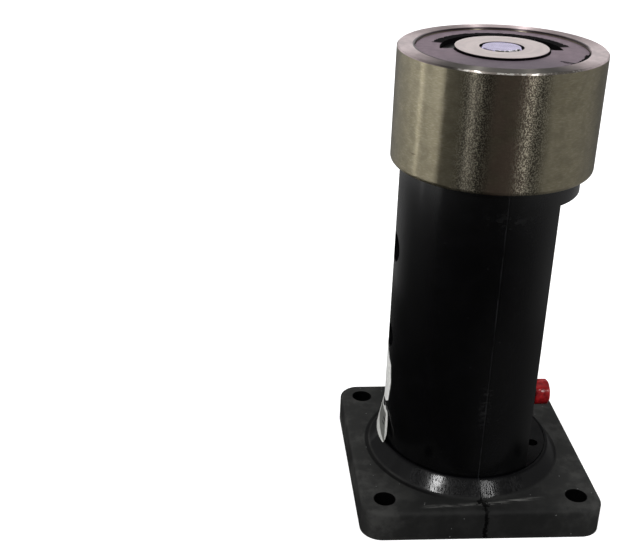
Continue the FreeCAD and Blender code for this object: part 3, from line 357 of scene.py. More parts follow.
def housing_finish():
    """Black moulding: a glossy post, a streaky glossy foot and a duller, dusty flange, lighter towards its
    sides.
    """
    material, net, shader = new_material("housing_black", Specular_IOR_Level=0.12, Coat_Roughness=0.17)
    vector, x, y, z = net.place()
    aside, radius, turn = net.math("ABSOLUTE", x), net.radius(x, y), net.direction(x, y)
    skin = group_node(net, MOULDED_SKIN, Wave=45.0, Grain=1700.0, Amount=0.12)
    flange = net.spread(z, *FLANGE_SPAN, 1.0, 0.0)
    post = net.spread(z, *POST_SPAN)
    foot = net.product(net.math("SUBTRACT", 1.0, flange), net.spread(z, *FOOT_SPAN, 1.0, 0.0),
                       net.math("GREATER_THAN", radius, POST_RADIUS + FOOT_CLEAR))
    smudge = net.spread(skin["Mottle"], 0.35, 0.7)
    post_colour = net.mix(smudge, (0.0004, 0.0004, 0.0008), (0.0007, 0.0007, 0.0013))
    # The flange lighter towards its sides and darker across its middle, broken by the mottle.
    lighter_aside = net.product(net.spread(aside, *LIGHTER_ASIDE_SPAN, 0.25, 1.0), net.spread(smudge, 0.0, 1.0, 0.35, 1.0))
    flange_colour = net.mix(lighter_aside, (0.0085, 0.0088, 0.0088), (0.044, 0.044, 0.042))
    colour = net.mix(flange, post_colour, flange_colour)
    lip, colour = housing_marks(net, (x, y, z, aside, radius), flange, smudge, colour)
    seam = housing_seam(net, vector, x, y, flange)
    colour = net.mix(net.product(seam, 0.95), colour, JOINT_AND_HOLE_SHADE_BLACK)
    dust = group_node(net, DUST, Scale=420.0, Share=0.09)["Mask"]
    dust = net.product(dust, net.total(net.product(flange, 0.5), 0.03))
    colour = net.mix(dust, colour, (0.25, 0.25, 0.25))
    # Painted shade: the flange's holes black inside and round their edge.
    from_hole = net.radius(net.math("SUBTRACT", aside, HOLE_PLACE),
                           net.math("SUBTRACT", net.math("ABSOLUTE", y), HOLE_PLACE))
    colour = net.mix(net.spread(from_hole, *HOLE_SHADE_SPAN, 1.0, 0.0), colour, JOINT_AND_HOLE_SHADE_BLACK)
    net.feed(shader, "Base Color", colour)
    gloss, streaks = foot_gloss(net, vector, turn, radius)
    coat = net.math("ADD", net.product(post, 0.85), net.product(foot, gloss), clamp=True)
    net.feed(shader, "Coat Weight", coat)
    net.feed(shader, "Roughness", net.total(0.42, net.product(flange, 0.16), net.product(smudge, 0.08)))
    height = net.math("SUBTRACT", skin["Height"], net.product(seam, 0.8))
    height = net.total(height, net.product(lip, 0.3), net.product(foot, streaks, 0.2))
    net.feed(shader, "Normal", net.bump(height, 0.25 * MM, 0.8))
    return material


# Plating of the magnet. Bands of direction are a middle, a half width and a soft edge, in degrees.
SIDE_TONES = ((0.375, 0.333, 0.222), (0.425, 0.38, 0.265))
FACE_TONES = ((0.66, 0.55, 0.555), (0.8, 0.675, 0.68))
GLINT_GRAIN_DARK, GLINT_GRAIN_PALE = (0.05, 0.044, 0.036), (0.5, 0.46, 0.35)
GLINT_GRAIN_COLUMNS = ((-114.5, 3.5, 9.0), (-85.0, 3.0, 9.0))
GLINT_GRAIN_ROUND = 3000.0
GLINT_GRAIN_UP = 1900.0
DARK_REFLECTION_COLUMN = (-117.0, 2.5, 3.0)
BROWN_REFLECTION_BAND = (-97.0, 7.0, 9.0)
ROUGHER_BAND = (-104.0, 20.0, 10.0)
FACE_DARK_REFLECTION_BAND = (-102.0, 26.0, 28.0)
CLOSED_GAP_BAND = (-72.0, 62.0, 14.0)
BRIGHT_RIM_BAND = (-93.0, 28.0, 10.0)
UPPER_MARK = dict(Middle=140 * MM, Half=1.6 * MM, Across=-31 * MM, Width=1.2 * MM, Strokes=900.0)
LOWER_MARK = dict(Middle=134.6 * MM, Half=2 * MM, Across=-32.7 * MM, Width=1.4 * MM, Strokes=700.0)
GAP_SHADE_BAND = (SHELL_BORE + 0.35 * MM, 0.35 * MM, 0.25 * MM)
CHAMFER_SPAN = (MAGNET_TOP - 0.62 * MM, MAGNET_TOP - 0.52 * MM)
RIM_SPAN = (MAGNET_TOP - 0.08 * MM, MAGNET_TOP - 0.02 * MM)
RIM_WIDTH = 0.6 * MM
CORE_SIDE_SPAN = (MAGNET_TOP - 0.12 * MM, MAGNET_TOP - 0.04 * MM)


def plated_side(net, vector, x, y, z, turn, lines):
    """Colour of the magnet's side: turned lines, marks, a painted brown reflection, columns of grain with
    painted glints, and a painted dark reflection.
    """
    cloud = net.noise(vector, 55.0, 4.0, 0.6)
    side = net.mix(net.spread(cloud, 0.3, 0.7), *SIDE_TONES)
    side = net.mix(net.spread(lines["Lines"], 0.4, 0.75), side, (0.52, 0.47, 0.345))
    side = net.mix(net.spread(lines["Streaks"], 0.4, 0.65, 0.0, 0.4), side, (0.27, 0.24, 0.17))
    marks = net.math("ADD", group_node(net, SCUFF, **LOWER_MARK)["Mask"],
                     group_node(net, SCUFF, **UPPER_MARK)["Mask"], clamp=True)
    side = net.mix(marks, side, (0.1, 0.085, 0.05))
    # Painted reflection: a warm brown band at the front.
    brown_reflection = net.product(band(net, turn, *BROWN_REFLECTION_BAND), net.spread(cloud, 0.2, 0.6), 0.7)
    side = net.mix(brown_reflection, side, (0.5, 0.355, 0.28))
    # Painted glints: pale and dark grain specks in two columns of direction where the lamps catch the
    # grain.
    glint_columns = net.total(*[band(net, turn, *column) for column in GLINT_GRAIN_COLUMNS])
    stretched = net.vector(net.product(x, GLINT_GRAIN_ROUND), net.product(y, GLINT_GRAIN_ROUND),
                           net.product(z, GLINT_GRAIN_UP))
    grain = net.mix(net.spread(net.noise(stretched, 1.0), 0.39, 0.54), GLINT_GRAIN_PALE, GLINT_GRAIN_DARK)
    side = net.mix(net.product(glint_columns, 0.85), side, grain)
    # Painted reflection: a narrow darker column of direction on the side.
    return net.mix(net.product(band(net, turn, *DARK_REFLECTION_COLUMN), 0.6), side, GLINT_GRAIN_DARK)


def plated_face(net, x, y, turn, lines):
    """Colour of the pole ring, darker at its front as a painted reflection, with painted shade in the gap
    beside the cover.
    """
    face = net.mix(net.spread(lines["Streaks"], 0.3, 0.7), *FACE_TONES)
    # Painted reflection: the ring's face darker at its front.
    face = net.mix(band(net, turn, *FACE_DARK_REFLECTION_BAND), face, (0.16, 0.148, 0.132))
    # Painted shade: a dark line on the ring's face beside the cover, left out round the front.
    closed = band(net, turn, *CLOSED_GAP_BAND)
    gap_shade = net.product(band(net, net.radius(x, y), *GAP_SHADE_BAND), net.math("SUBTRACT", 1.0, closed), 0.85)
    return net.mix(gap_shade, face, (0.03, 0.025, 0.03))


def nickel_finish():
    """Turned and plated steel: warm, with fine lines, grainy columns of painted glints, a painted highlight
    along the front of its top edge, and a pinkish ground face.
    """
    material, net, shader = new_material("nickel_steel", Metallic=1.0, Anisotropic=1.0,
                                         Anisotropic_Rotation=0.25)
    vector, x, y, z = net.place()
    turn = net.direction(x, y)
    lines = group_node(net, TURNED_LINES, Along=620.0, Across=2400.0)
    top = net.spread(z, *CHAMFER_SPAN)
    # Painted highlight: a broken bright line along the front of the top outer edge.
    rim = net.product(top, net.spread(z, *RIM_SPAN, 1.0, 0.0),
                      net.math("GREATER_THAN", net.radius(x, y), MAGNET_RADIUS - RIM_WIDTH),
                      band(net, turn, *BRIGHT_RIM_BAND))
    rim_glint_breaks = net.spread(net.noise(vector, 620.0, 2.0, 0.6), 0.47, 0.56)
    rim_glint_colour = net.mix(rim_glint_breaks, (0.4, 0.36, 0.32), (1.0, 0.97, 0.9))
    side, face = plated_side(net, vector, x, y, z, turn, lines), plated_face(net, x, y, turn, lines)
    net.feed(shader, "Base Color", net.mix(rim, net.mix(top, side, face), rim_glint_colour))
    net.feed(shader, "Roughness", net.total(0.28, net.product(top, 0.14)))
    rougher = net.total(0.12, net.product(band(net, turn, *ROUGHER_BAND), 0.35))
    grains = net.product(net.noise(vector, 1400.0, 2.0, 0.6), rougher, net.math("SUBTRACT", 1.0, top))
    height = net.total(net.product(lines["Lines"], 0.3), grains)
    net.feed(shader, "Normal", net.bump(height, 0.1 * MM, 0.8))
    return material


def core_finish():
    """Ground steel of the inner pole, with painted shade down its side."""
    material, net, shader = new_material("core_steel", Metallic=1.0, Roughness=0.34)
    z = net.place()[3]
    lines = group_node(net, TURNED_LINES, Along=200.0, Across=3600.0)
    colour = net.mix(net.spread(lines["Streaks"], 0.3, 0.7), (0.78, 0.68, 0.665), (0.9, 0.785, 0.765))
    # Painted shade down the core's side, next to the recessed cover.
    side = net.spread(z, *CORE_SIDE_SPAN, 1.0, 0.0)
    net.feed(shader, "Base Color", net.mix(side, colour, (0.012, 0.01, 0.012)))
    net.feed(shader, "Normal", net.bump(lines["Lines"], 0.02 * MM, 0.5))
    return material


# Cover. Its black painted shade in the slot starts at a ragged radius, between directions in degrees. The
# crack slants by degrees to the metre.
SLOT_SHADE_RADIUS = 24.3 * MM
SLOT_SHADE_START = (4.0, 8.0)
SLOT_SHADE_END = (152.0, 158.0)
RIM_SHADE_RADIUS = 28.7 * MM
RIM_SHADE_END = (-16.0, -10.0)
RIM_SLOT_SHADE_RADIUS = 27.6 * MM
RIM_SLOT_SHADE_BAND = (-34.0, 15.0, 2.0)
CRACK_RADIUS = 22.5 * MM
CRACK_BAND = (-53.0, 0.9, 0.4)
CRACK_SLANT = 260.0
CORE_SHADE_RADIUS = 16.45 * MM
RAGGED_BY = 2.2 * MM
COVER_FRONT_SHADE_BAND = (-95.0, 25.0, 45.0)


def cover_finish():
    """Mauve moulding with painted shade: darker at its front, black in its slot, along its rim, round the
    core and down its sides; and a crack at its rim.
    """
    material, net, shader = new_material("cover_plastic", Specular_IOR_Level=0.12)
    vector, x, y, z = net.place()
    skin = group_node(net, MOULDED_SKIN, Wave=140.0, Grain=2800.0, Amount=0.3)
    radius, turn = net.radius(x, y), net.direction(x, y)
    plain = net.mix(net.spread(skin["Mottle"], 0.3, 0.7), (0.155, 0.117, 0.14), (0.2, 0.153, 0.18))
    # Painted shade: the cover darker at its front.
    plain = net.mix(net.product(band(net, turn, *COVER_FRONT_SHADE_BAND), 0.6), plain, (0.08, 0.07, 0.085))
    ragged = net.product(net.math("SUBTRACT", net.noise(vector, 500.0, 3.0, 0.7), 0.5), RAGGED_BY)
    edge = net.total(radius, ragged)
    # Painted shade in black with ragged edges: in the arc slot, along the rim, in a slot in the rim at the
    # front right, round the core and down the cover's sides; the crack is black too.
    slot = net.product(net.math("LESS_THAN", edge, SLOT_SHADE_RADIUS),
                       net.spread(turn, *SLOT_SHADE_START), net.spread(turn, *SLOT_SHADE_END, 1.0, 0.0))
    rim = net.product(net.math("GREATER_THAN", edge, RIM_SHADE_RADIUS),
                      net.spread(turn, *RIM_SHADE_END, 1.0, 0.0))
    rim_slot_shade = net.product(net.math("GREATER_THAN", edge, RIM_SLOT_SHADE_RADIUS), band(net, turn, *RIM_SLOT_SHADE_BAND))
    slanted = net.math("SUBTRACT", turn, net.product(radius, CRACK_SLANT))
    crack = net.product(band(net, slanted, *CRACK_BAND), net.math("GREATER_THAN", edge, CRACK_RADIUS))
    core_shade = net.math("LESS_THAN", radius, CORE_SHADE_RADIUS)
    cover_side_shade = net.math("LESS_THAN", z, COVER_TOP - 0.1 * MM)
    black = slot
    for patch in (rim, rim_slot_shade, crack, core_shade, cover_side_shade):
        black = net.math("MAXIMUM", black, patch)
    net.feed(shader, "Base Color", net.mix(black, plain, (0.002, 0.0015, 0.002)))
    net.feed(shader, "Roughness", net.total(0.5, net.product(black, 0.5)))
    net.feed(shader, "Normal", net.bump(net.math("SUBTRACT", skin["Height"], black), 0.1 * MM, 0.6))
    return material


def plastic_finish(name, dark, light, roughness):
    """A moulded plastic with a soft mottle between two tones."""
    material, net, shader = new_material(name, Roughness=roughness)
    skin = group_node(net, MOULDED_SKIN, Wave=140.0, Grain=2800.0, Amount=0.3)
    net.feed(shader, "Base Color", net.mix(net.spread(skin["Mottle"], 0.3, 0.7), dark, light))
    net.feed(shader, "Normal", net.bump(skin["Height"], 0.1 * MM, 0.6))
    return material


def metal_finish(name, dark, light, roughness):
    """A plain metal with a fine uneven tone."""
    material, net, shader = new_material(name, Metallic=1.0)
    cloud = net.noise(net.place()[0], 500.0, 4.0, 0.6)
    net.feed(shader, "Base Color", net.mix(net.spread(cloud, 0.3, 0.7), dark, light))
    net.feed(shader, "Roughness", net.spread(cloud, 0.2, 0.8, roughness * 0.8, roughness * 1.25))
    net.feed(shader, "Normal", net.bump(cloud, 0.03 * MM, 0.4))
    return material


# Pin, winding and button: the pin's edge of painted highlight and shade, the wire's pitch and the button's
# painted shade
PIN_EDGE = 1.1 * MM
PIN_EDGE_LIGHT_BAND = (-80.0, 42.0, 4.0)
WIRE_PITCH = 0.4 * MM
BUTTON_SHADE_REACH = 3.5 * MM


def pin_finish():
    """Bright violet-tinged chrome whose front edge carries painted highlight and shade in white and black
    dashes.
    """
    material, net, shader = new_material("pin_chrome", Metallic=1.0, Roughness=0.22)
    vector, x, y, _ = net.place()
    cloud = net.noise(vector, 260.0, 4.0, 0.6)
    colour = net.mix(net.spread(cloud, 0.3, 0.7), (0.45, 0.4, 0.62), (0.57, 0.51, 0.76))
    # Painted highlight and shade: white and black dashes along the pin's front edge.
    edge = net.product(net.math("GREATER_THAN", net.radius(x, y), PIN_RADIUS - PIN_EDGE),
                       band(net, net.direction(x, y), *PIN_EDGE_LIGHT_BAND))
    edge_light_dashes = net.math("GREATER_THAN", net.noise(vector, 900.0, 1.0), 0.5)
    chipped_and_edge_lit = net.mix(edge_light_dashes, (1.0, 0.98, 1.0), (0.01, 0.01, 0.012))
    net.feed(shader, "Base Color", net.mix(edge, colour, chipped_and_edge_lit))
    net.feed(shader, "Normal", net.bump(cloud, 0.03 * MM, 0.4))
    return material


def button_finish():
    """Clear red plastic, with painted shade over its lower half."""
    material, net, shader = new_material("button_red", Roughness=0.22, Specular_IOR_Level=0.25)
    vector, _, _, z = net.place()
    depth = net.noise(vector, 430.0, 1.0)
    red = net.mix(net.spread(depth, 0.35, 0.65), (0.25, 0.006, 0.009), (0.5, 0.014, 0.018))
    # Painted shade over the button's lower half.
    low = net.spread(z, BUTTON_Z - BUTTON_SHADE_REACH, BUTTON_Z, 1.0, 0.0)
    net.feed(shader, "Base Color", net.mix(net.product(low, 0.85), red, (0.09, 0.001, 0.002)))
    net.feed(shader, "Normal", net.bump(depth, 0.5 * MM, 0.7))
    return material


# Label finish: where the grey area of its loose leaf ends at its slanting low and front edges, at its top
# and at its back, and two dark specks on it
LABEL_WAIST = 32.5 * MM
LEAF_LOW_SLANT = -0.35
LEAF_LOW_SPAN = (21.7 * MM, 22.1 * MM)
LEAF_FRONT_SLANT = 0.507
LEAF_FRONT_SPAN = (18.6 * MM, 19.0 * MM)
LEAF_TOP_SPAN = (28.6 * MM, 29.2 * MM)
LEAF_BACK_SPAN = (5.6 * MM, 6.0 * MM)
LEAF_PALE_SPAN = (LABEL_WAIST - 2 * MM, LABEL_WAIST + 1 * MM)
SPECK_HEIGHTS = (26.4 * MM, 24.6 * MM)
SPECK_PLACE = -3.9 * MM
SPECK_RADIUS = 0.4 * MM
SPECK_STRETCH = 0.25


def label_finish():
    """Pale sheet with a faint fibre; its loose leaf is grey inside a pale rim, with two dark specks."""
    material, net, shader = new_material("label_paper", Roughness=0.5)
    vector, _, y, z = net.place()
    fibres = net.noise(vector, 900.0, 4.0, 0.6)
    lower_edge = net.total(z, net.product(y, LEAF_LOW_SLANT))
    front_edge = net.math("SUBTRACT", net.product(z, LEAF_FRONT_SLANT), y)
    grey = net.product(net.spread(lower_edge, *LEAF_LOW_SPAN),
                       net.spread(front_edge, *LEAF_FRONT_SPAN, 1.0, 0.0),
                       net.spread(z, *LEAF_TOP_SPAN, 1.0, 0.0), net.spread(y, *LEAF_BACK_SPAN, 1.0, 0.0))
    pale = net.mix(net.spread(z, *LEAF_PALE_SPAN), (0.72, 0.72, 0.69), (0.93, 0.93, 0.9))
    paper = net.mix(grey, pale, (0.15, 0.152, 0.14))
    paper = net.mix(net.spread(fibres, 0.35, 0.75, 0.0, 0.3), paper, (0.05, 0.05, 0.045))
    across = net.product(net.math("SUBTRACT", y, SPECK_PLACE), SPECK_STRETCH)
    specks = [net.math("LESS_THAN", net.radius(across, net.math("SUBTRACT", z, height)), SPECK_RADIUS)
              for height in SPECK_HEIGHTS]
    net.feed(shader, "Base Color", net.mix(net.math("MAXIMUM", *specks), paper, (0.01, 0.01, 0.01)))
    net.feed(shader, "Normal", net.bump(fibres, 0.02 * MM, 0.4))
    return material


def winding_finish():
    """Enamelled copper wire in close turns."""
    material, net, shader = new_material("copper_wire", Metallic=1.0, Roughness=0.3)
    vector, _, _, z = net.place()
    turn = net.math("SINE", net.product(z, 2 * math.pi / WIRE_PITCH))
    cloud = net.noise(vector, 120.0, 3.0)
    colour = net.mix(net.spread(cloud, 0.3, 0.7), (0.42, 0.15, 0.06), (0.6, 0.24, 0.1))
    net.feed(shader, "Base Color", colour)
    net.feed(shader, "Normal", net.bump(turn, 0.1 * MM, 1.0))
    return material


def give(material, *names):
    """Puts a finish on solids of the frame."""
    for name in names:
        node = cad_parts[name]
        if not node.material_slots:
            node.data.materials.append(material)
        for slot in node.material_slots:
            slot.material = material


# Finishes of the solids
give(housing_finish(), "housing_left", "housing_right")
give(nickel_finish(), "magnet_shell")
give(core_finish(), "pole_core")
give(plastic_finish("bobbin_plastic", (0.55, 0.52, 0.44), (0.64, 0.61, 0.53), 0.4),
     "coil_bobbin")
give(winding_finish(), "coil_winding")
give(plastic_finish("potting_resin", (0.004, 0.004, 0.004), (0.008, 0.008, 0.008), 0.35),
     "potting_ring")
give(cover_finish(), "pole_cover")
give(pin_finish(), "ejector_pin")
give(metal_finish("spring_steel", (0.35, 0.35, 0.34), (0.5, 0.5, 0.48), 0.3),
     "ejector_clip", "ejector_spring", "button_spring")
give(metal_finish("screw_steel", (0.42, 0.41, 0.37), (0.6, 0.58, 0.53), 0.32),
     "magnet_washer", "button_nut", "button_washer", "block_screw", "clamp_screw_1", "clamp_screw_2")
give(metal_finish("black_screw", (0.02, 0.02, 0.021), (0.04, 0.04, 0.042), 0.42),
     "magnet_screw", "joint_screw_upper", "joint_screw_lower")
give(plastic_finish("switch_plastic", (0.01, 0.01, 0.011), (0.018, 0.018, 0.019), 0.45),
     "switch_body", "button_plunger")
give(metal_finish("tab_brass", (0.6, 0.45, 0.18), (0.72, 0.58, 0.28), 0.3),
     "switch_tab_1", "switch_tab_2")
give(plastic_finish("block_plastic", (0.42, 0.42, 0.4), (0.5, 0.5, 0.48), 0.45),
     "terminal_block")
give(plastic_finish("lead_red", (0.3, 0.012, 0.01), (0.4, 0.02, 0.015), 0.5),
     "coil_lead_1", "switch_lead_1")
give(plastic_finish("lead_black", (0.008, 0.008, 0.008), (0.014, 0.014, 0.014), 0.5),
     "coil_lead_2", "switch_lead_2")
give(plastic_finish("diode_black", (0.01, 0.01, 0.01), (0.02, 0.02, 0.02), 0.3),
     "suppressor_diode")
give(button_finish(), "button_cap")


# Side label: a thin sheet with two rounded lobes, stuck on above and peeled away below its waist.
# Its corners and cuts are in millimetres, round the post from the direction away from the button, and up.
LABEL_CORNERS = [
    (-12, 56), (-3, 56), (4.6, 51), (5.9, 43.5), (4.2, 35), (1.2, 33), (-3, 32.2), (-7, 31), (-7, 29.2),
    (-3.1, 29), (1, 29.7), (4.3, 30.3), (5.7, 29.2), (7.4, 26), (8.7, 22), (8.5, 19.8), (7.9, 18.2),
    (4, 18.2), (-2, 18.4), (-6, 19.2), (-8.5, 22), (-10, 30), (-12, 37)]
CUTS_ROUND = range(-12, 8)
CUTS_UP = range(18, 56, 2)
LABEL_ROUNDING = 0.6 * MM
LABEL_THICKNESS = 0.2 * MM
LABEL_STUCK = POST_RADIUS + 0.1 * MM
LABEL_REACH = 2.8 * MM
LABEL_CURL = 1.2
LABEL_LOW = 16.8 * MM


def make_label():
    """The sheet is cut out flat and then bent round the post."""
    shape = bmesh.new()
    corners = [bmesh.ops.create_vert(shape, co=(across * MM, 0, up * MM))["vert"][0]
               for across, up in LABEL_CORNERS]
    sheet = shape.faces.new(corners)
    bmesh.ops.bevel(shape, geom=list(sheet.verts), offset=LABEL_ROUNDING, offset_type="OFFSET",
                    segments=5, profile=0.5, affect="VERTICES", material=-1, clamp_overlap=True)
    for axis, cuts in ((Vector((1, 0, 0)), CUTS_ROUND), (Vector((0, 0, 1)), CUTS_UP)):
        for cut in cuts:
            geometry = list(shape.verts) + list(shape.edges) + list(shape.faces)
            bmesh.ops.bisect_plane(shape, geom=geometry, dist=1e-6, plane_co=axis * cut * MM, plane_no=axis)
    for vert in shape.verts:
        loose = max(0.0, (LABEL_WAIST - vert.co.z) / (LABEL_WAIST - LABEL_LOW))
        radius = LABEL_STUCK + LABEL_REACH * min(1.0, loose) ** LABEL_CURL
        angle = math.pi + vert.co.x / POST_RADIUS
        vert.co = Vector((radius * math.cos(angle), radius * math.sin(angle), vert.co.z))
    bmesh.ops.triangulate(shape, faces=[face for face in shape.faces if len(face.verts) > 4])
    bmesh.ops.recalc_face_normals(shape, faces=list(shape.faces))
    middles = [face.calc_center_median() for face in shape.faces]
    outward = sum(face.normal.dot(Vector((middle.x, middle.y, 0)))
                  for face, middle in zip(shape.faces, middles))
    if outward < 0:
        bmesh.ops.reverse_faces(shape, faces=list(shape.faces))
    bmesh.ops.solidify(shape, geom=list(shape.faces), thickness=LABEL_THICKNESS)
    mesh = bpy.data.meshes.new("label_sheet")
    shape.to_mesh(mesh)
    shape.free()
    label = bpy.data.objects.new("label_sheet", mesh)
    bpy.context.scene.collection.objects.link(label)
    mesh.materials.append(label_finish())
    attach(label, "pedestal")
    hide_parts("side_label")
    give(mesh.materials[0], "side_label")


make_label()


# Studio: the floor and the world are white where the camera or a reflection sees them, dimmer as light
FLOOR_HALF = 6.0
FLOOR_DROP = 0.05 * MM
FLOOR_GLOW = 0.62
WORLD_LIGHT = 0.4
WORLD_SEEN = 0.6


def seen_directly(net):
    """One where the camera, a reflection or a clear surface looks, and nothing for other light."""
    path = net.node("ShaderNodeLightPath").outputs
    return net.math("MAXIMUM", path["Is Camera Ray"],
                    net.math("MAXIMUM", path["Is Glossy Ray"], path["Is Transmission Ray"]))


def make_floor():
    """A pale floor that keeps the object's shadow and is white where nothing shades it."""
    mesh = bpy.data.meshes.new("studio_floor")
    shape = bmesh.new()
    bmesh.ops.create_grid(shape, x_segments=1, y_segments=1, size=FLOOR_HALF)
    bmesh.ops.translate(shape, verts=shape.verts, vec=(0, 0, -FLOOR_DROP))
    shape.to_mesh(mesh)
    shape.free()
    floor = bpy.data.objects.new("studio_floor", mesh)
    bpy.context.scene.collection.objects.link(floor)
    material, net, shader = new_material("studio_floor", Base_Color=(0.8, 0.8, 0.8, 1.0), Roughness=0.9,
                                         Specular_IOR_Level=0.0)
    glow = net.node("ShaderNodeEmission", {
        "Color": (1, 1, 1, 1), "Strength": net.product(seen_directly(net), FLOOR_GLOW)})
    both = net.node("ShaderNodeAddShader", {0: shader.outputs["BSDF"], 1: glow.outputs["Emission"]})
    net.feed(material.node_tree.nodes["Material Output"], "Surface", both.outputs["Shader"])
    mesh.materials.append(material)


def make_world():
    """White surroundings to the eye and in reflections, dimmer as light."""
    world = bpy.data.worlds.new("studio")
    bpy.context.scene.world = world
    world.use_nodes = True
    net = Net(world.node_tree)
    background = world.node_tree.nodes["Background"]
    background.inputs["Color"].default_value = (1, 1, 1, 1)
    net.feed(background, "Strength", net.total(WORLD_LIGHT, net.product(seen_directly(net), WORLD_SEEN)))


def add_lamp(name, place, aim, width, height, watts, sparkle=False):
    """A soft rectangular lamp that looks at a point; a sparkle lamp shows in glossy surfaces only."""
    data = bpy.data.lights.new(name, "AREA")
    data.shape = "RECTANGLE"
    data.size, data.size_y = width, height
    data.energy = watts
    lamp = bpy.data.objects.new(name, data)
    bpy.context.scene.collection.objects.link(lamp)
    lamp.location = place
    lamp.rotation_euler = (Vector(aim) - Vector(place)).to_track_quat("-Z", "Y").to_euler()
    lamp.visible_diffuse = not sparkle
    lamp.visible_glossy = sparkle


SKY_DISTANCE = 1.2


def sky_place(direction, height):
    """A place seen from the object at a direction round it and a height, both in degrees."""
    turn, rise = math.radians(direction), math.radians(height)
    level = math.cos(rise)
    return Vector((math.cos(turn) * level, math.sin(turn) * level, math.sin(rise))) * SKY_DISTANCE


# Bowl round the object that shows in reflections only. Its tones go by direction round it, in degrees:
# the low wall and the outer floor show in the polished ring, the inner floor in the black post.
BOWL_INSIDE = 0.04
BOWL_LIFT = 0.5 * MM
BOWL_RADIUS = 0.42
BOWL_HEIGHT = 0.235
BOWL_STEPS = 96
INNER_FLOOR_SPAN = (0.17, 0.2)
OUTER_FLOOR_SPAN = (0.36, 0.375)
WALL_TONES = [
    (-180, 0.9), (-164, 1.15), (-161.5, 1.1), (-160.3, 0.2), (-145, 0.17), (-136, 0.11), (-125, 0.12),
    (-115, 0.07), (-84, 0.07), (-74, 0.17), (-65, 0.22), (-55, 0.32), (-38, 0.38), (-20, 0.33),
    (5, 0.22), (35, 0.13), (55, 0.12), (75, 0.06), (95, 0.12), (105, 0.2), (125, 0.37), (145, 0.56),
    (165, 0.9), (167.6, 0.95), (168.3, 3.2), (169.6, 3.2), (170.4, 0.85), (180, 0.9)]
OUTER_TONES = [
    (-180, 0.01), (-137, 0.005), (-105, 0.005), (-73, 0.02), (-41, 0.08), (-25, 0.16), (-9, 0.25),
    (30, 0.26), (80, 0.14), (111, 0.16), (127, 0.2), (143, 0.1), (159, 0.02), (180, 0.01)]
INNER_TONES = [
    (-180, 0.005), (-137, 0.012), (-105, 0.02), (-73, 0.07), (-41, 0.08), (-9, 0.12), (30, 0.18),
    (56, 0.22), (85, 0.06), (127, 0.03), (143, 0.01), (180, 0.005)]
CARD_TOP = 0.95
CARD_STEPS = 48
FRONT_CARD_TONE = 0.1
FRONT_CARD_SPAN = (-205.0, -5.0)
BACK_CARD_TONE = 0.3
BACK_CARD_LOW = 0.36
BACK_CARD_SPAN = (-5.0, 155.0)


def tone_ramp(net, turn, tones):
    """Grey tones by direction, with the whole turn as zero to one."""
    return net.ramp(turn, [((where + 180.0) / 360.0, (grey, grey, grey)) for where, grey in tones])


def reflected_card(name, shape):
    """A card that shows in reflections only; gives back its net and the node that takes its tone."""
    mesh = bpy.data.meshes.new(name)
    shape.to_mesh(mesh)
    shape.free()
    card = bpy.data.objects.new(name, mesh)
    bpy.context.scene.collection.objects.link(card)
    card.visible_camera = False
    card.visible_diffuse = False
    card.visible_shadow = False
    card.visible_transmission = False
    material = bpy.data.materials.new(name)
    material.use_nodes = True
    net = Net(material.node_tree)
    glow = net.node("ShaderNodeEmission", {"Strength": 1.0})
    net.feed(material.node_tree.nodes["Material Output"], "Surface", glow.outputs["Emission"])
    mesh.materials.append(material)
    return net, glow


def spun(corners, first, last, steps):
    """A surface made by turning a line of corners, each a radius and a height, about the upright axis."""
    shape = bmesh.new()
    points = [bmesh.ops.create_vert(shape, co=(radius, 0, z))["vert"][0] for radius, z in corners]
    edges = [shape.edges.new(pair) for pair in zip(points, points[1:])]
    bmesh.ops.rotate(shape, verts=points, cent=(0, 0, 0),
                     matrix=Matrix.Rotation(math.radians(first), 3, "Z"))
    whole = last - first >= 360.0
    bmesh.ops.spin(shape, geom=points + edges, axis=(0, 0, 1), cent=(0, 0, 0), steps=steps,
                   angle=math.radians(last - first), use_merge=whole)
    return shape


def make_bowl():
    """A shallow bowl with darker and lighter stretches, and taller darker cards in front and behind."""
    corners = [(BOWL_INSIDE, BOWL_LIFT), (BOWL_RADIUS, BOWL_LIFT), (BOWL_RADIUS, BOWL_HEIGHT)]
    net, glow = reflected_card("studio_bowl", spun(corners, 0.0, 360.0, BOWL_STEPS))
    _, x, y, _ = net.place()
    turn = net.total(net.math("DIVIDE", net.math("ARCTAN2", y, x), 2 * math.pi), 0.5)
    radius = net.radius(x, y)
    floor = net.mix(net.spread(radius, *INNER_FLOOR_SPAN),
                    tone_ramp(net, turn, INNER_TONES), tone_ramp(net, turn, OUTER_TONES))
    wall = net.spread(radius, *OUTER_FLOOR_SPAN)
    net.feed(glow, "Color", net.mix(wall, floor, tone_ramp(net, turn, WALL_TONES)))
    for name, low, span, tone in (("studio_front_card", BOWL_HEIGHT, FRONT_CARD_SPAN, FRONT_CARD_TONE),
                                  ("studio_back_card", BACK_CARD_LOW, BACK_CARD_SPAN, BACK_CARD_TONE)):
        sides = [(BOWL_RADIUS, low), (BOWL_RADIUS, CARD_TOP)]
        _, glow = reflected_card(name, spun(sides, *span, CARD_STEPS))
        glow.inputs["Color"].default_value = (tone, tone, tone, 1.0)


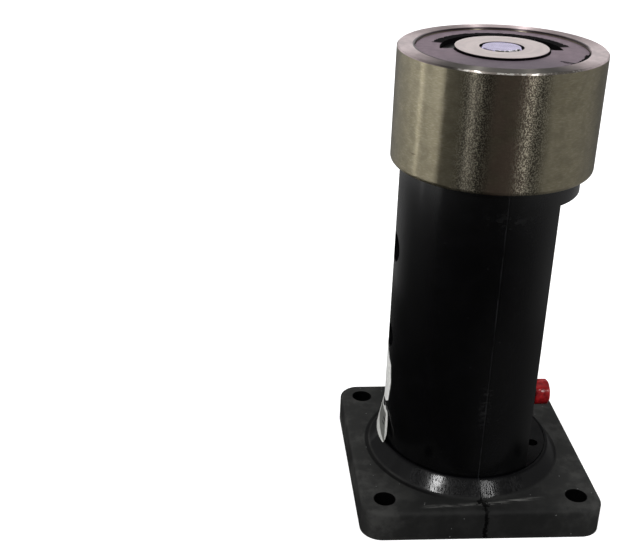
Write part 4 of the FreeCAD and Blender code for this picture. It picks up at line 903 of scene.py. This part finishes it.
# Camera that sees the object as the photograph does: its place in metres, its angles in degrees, and its
# focal length and middle in pixels of the photograph's frame
CAMERA_PLACE = Vector((-0.0946, -0.3606, 0.2589))
CAMERA_PITCH = 25.29
CAMERA_YAW = -2.498
CAMERA_ROLL = 0.589
FOCAL_PIXELS = 1079.03
CENTRE_PIXELS = (267.47, 272.66)
PHOTO_WIDTH, PHOTO_HEIGHT = 641, 553
SENSOR = 36.0


def make_camera():
    data = bpy.data.cameras.new("camera")
    data.sensor_width = SENSOR
    data.lens = FOCAL_PIXELS * SENSOR / PHOTO_WIDTH
    data.shift_x = (PHOTO_WIDTH / 2 - CENTRE_PIXELS[0]) / PHOTO_WIDTH
    data.shift_y = (CENTRE_PIXELS[1] - PHOTO_HEIGHT / 2) / PHOTO_WIDTH
    data.clip_start, data.clip_end = 0.01, 20.0
    camera = bpy.data.objects.new("camera", data)
    bpy.context.scene.collection.objects.link(camera)
    turn = Matrix.Rotation(math.radians(CAMERA_YAW), 4, "Z")
    tilt = Matrix.Rotation(math.radians(90.0 - CAMERA_PITCH), 4, "X")
    roll = Matrix.Rotation(math.radians(CAMERA_ROLL), 4, "Z")
    camera.matrix_world = Matrix.Translation(CAMERA_PLACE) @ turn @ tilt @ roll
    bpy.context.scene.camera = camera


make_camera()
make_floor()
make_world()
make_bowl()
add_lamp("key_lamp", (-0.5, -0.35, 0.9), aim=(0, 0, 0.08), width=0.5, height=0.5, watts=5.0)
add_lamp("fill_lamp", (0.7, -0.2, 0.6), aim=(0, 0, 0.08), width=0.4, height=0.6, watts=2.5)
add_lamp("back_lamp", (0.1, 0.8, 0.7), aim=(0, 0, 0.1), width=0.8, height=0.4, watts=3.0)
add_lamp("left_sparkle", sky_place(-131, 39), aim=(0, 0, 0.02), width=0.1, height=0.1, watts=4.5,
         sparkle=True)
add_lamp("right_sparkle", sky_place(-66, 37), aim=(0, 0, 0.02), width=0.08, height=0.08, watts=2.5,
         sparkle=True)

bpy.context.scene.view_settings.view_transform = "Standard"
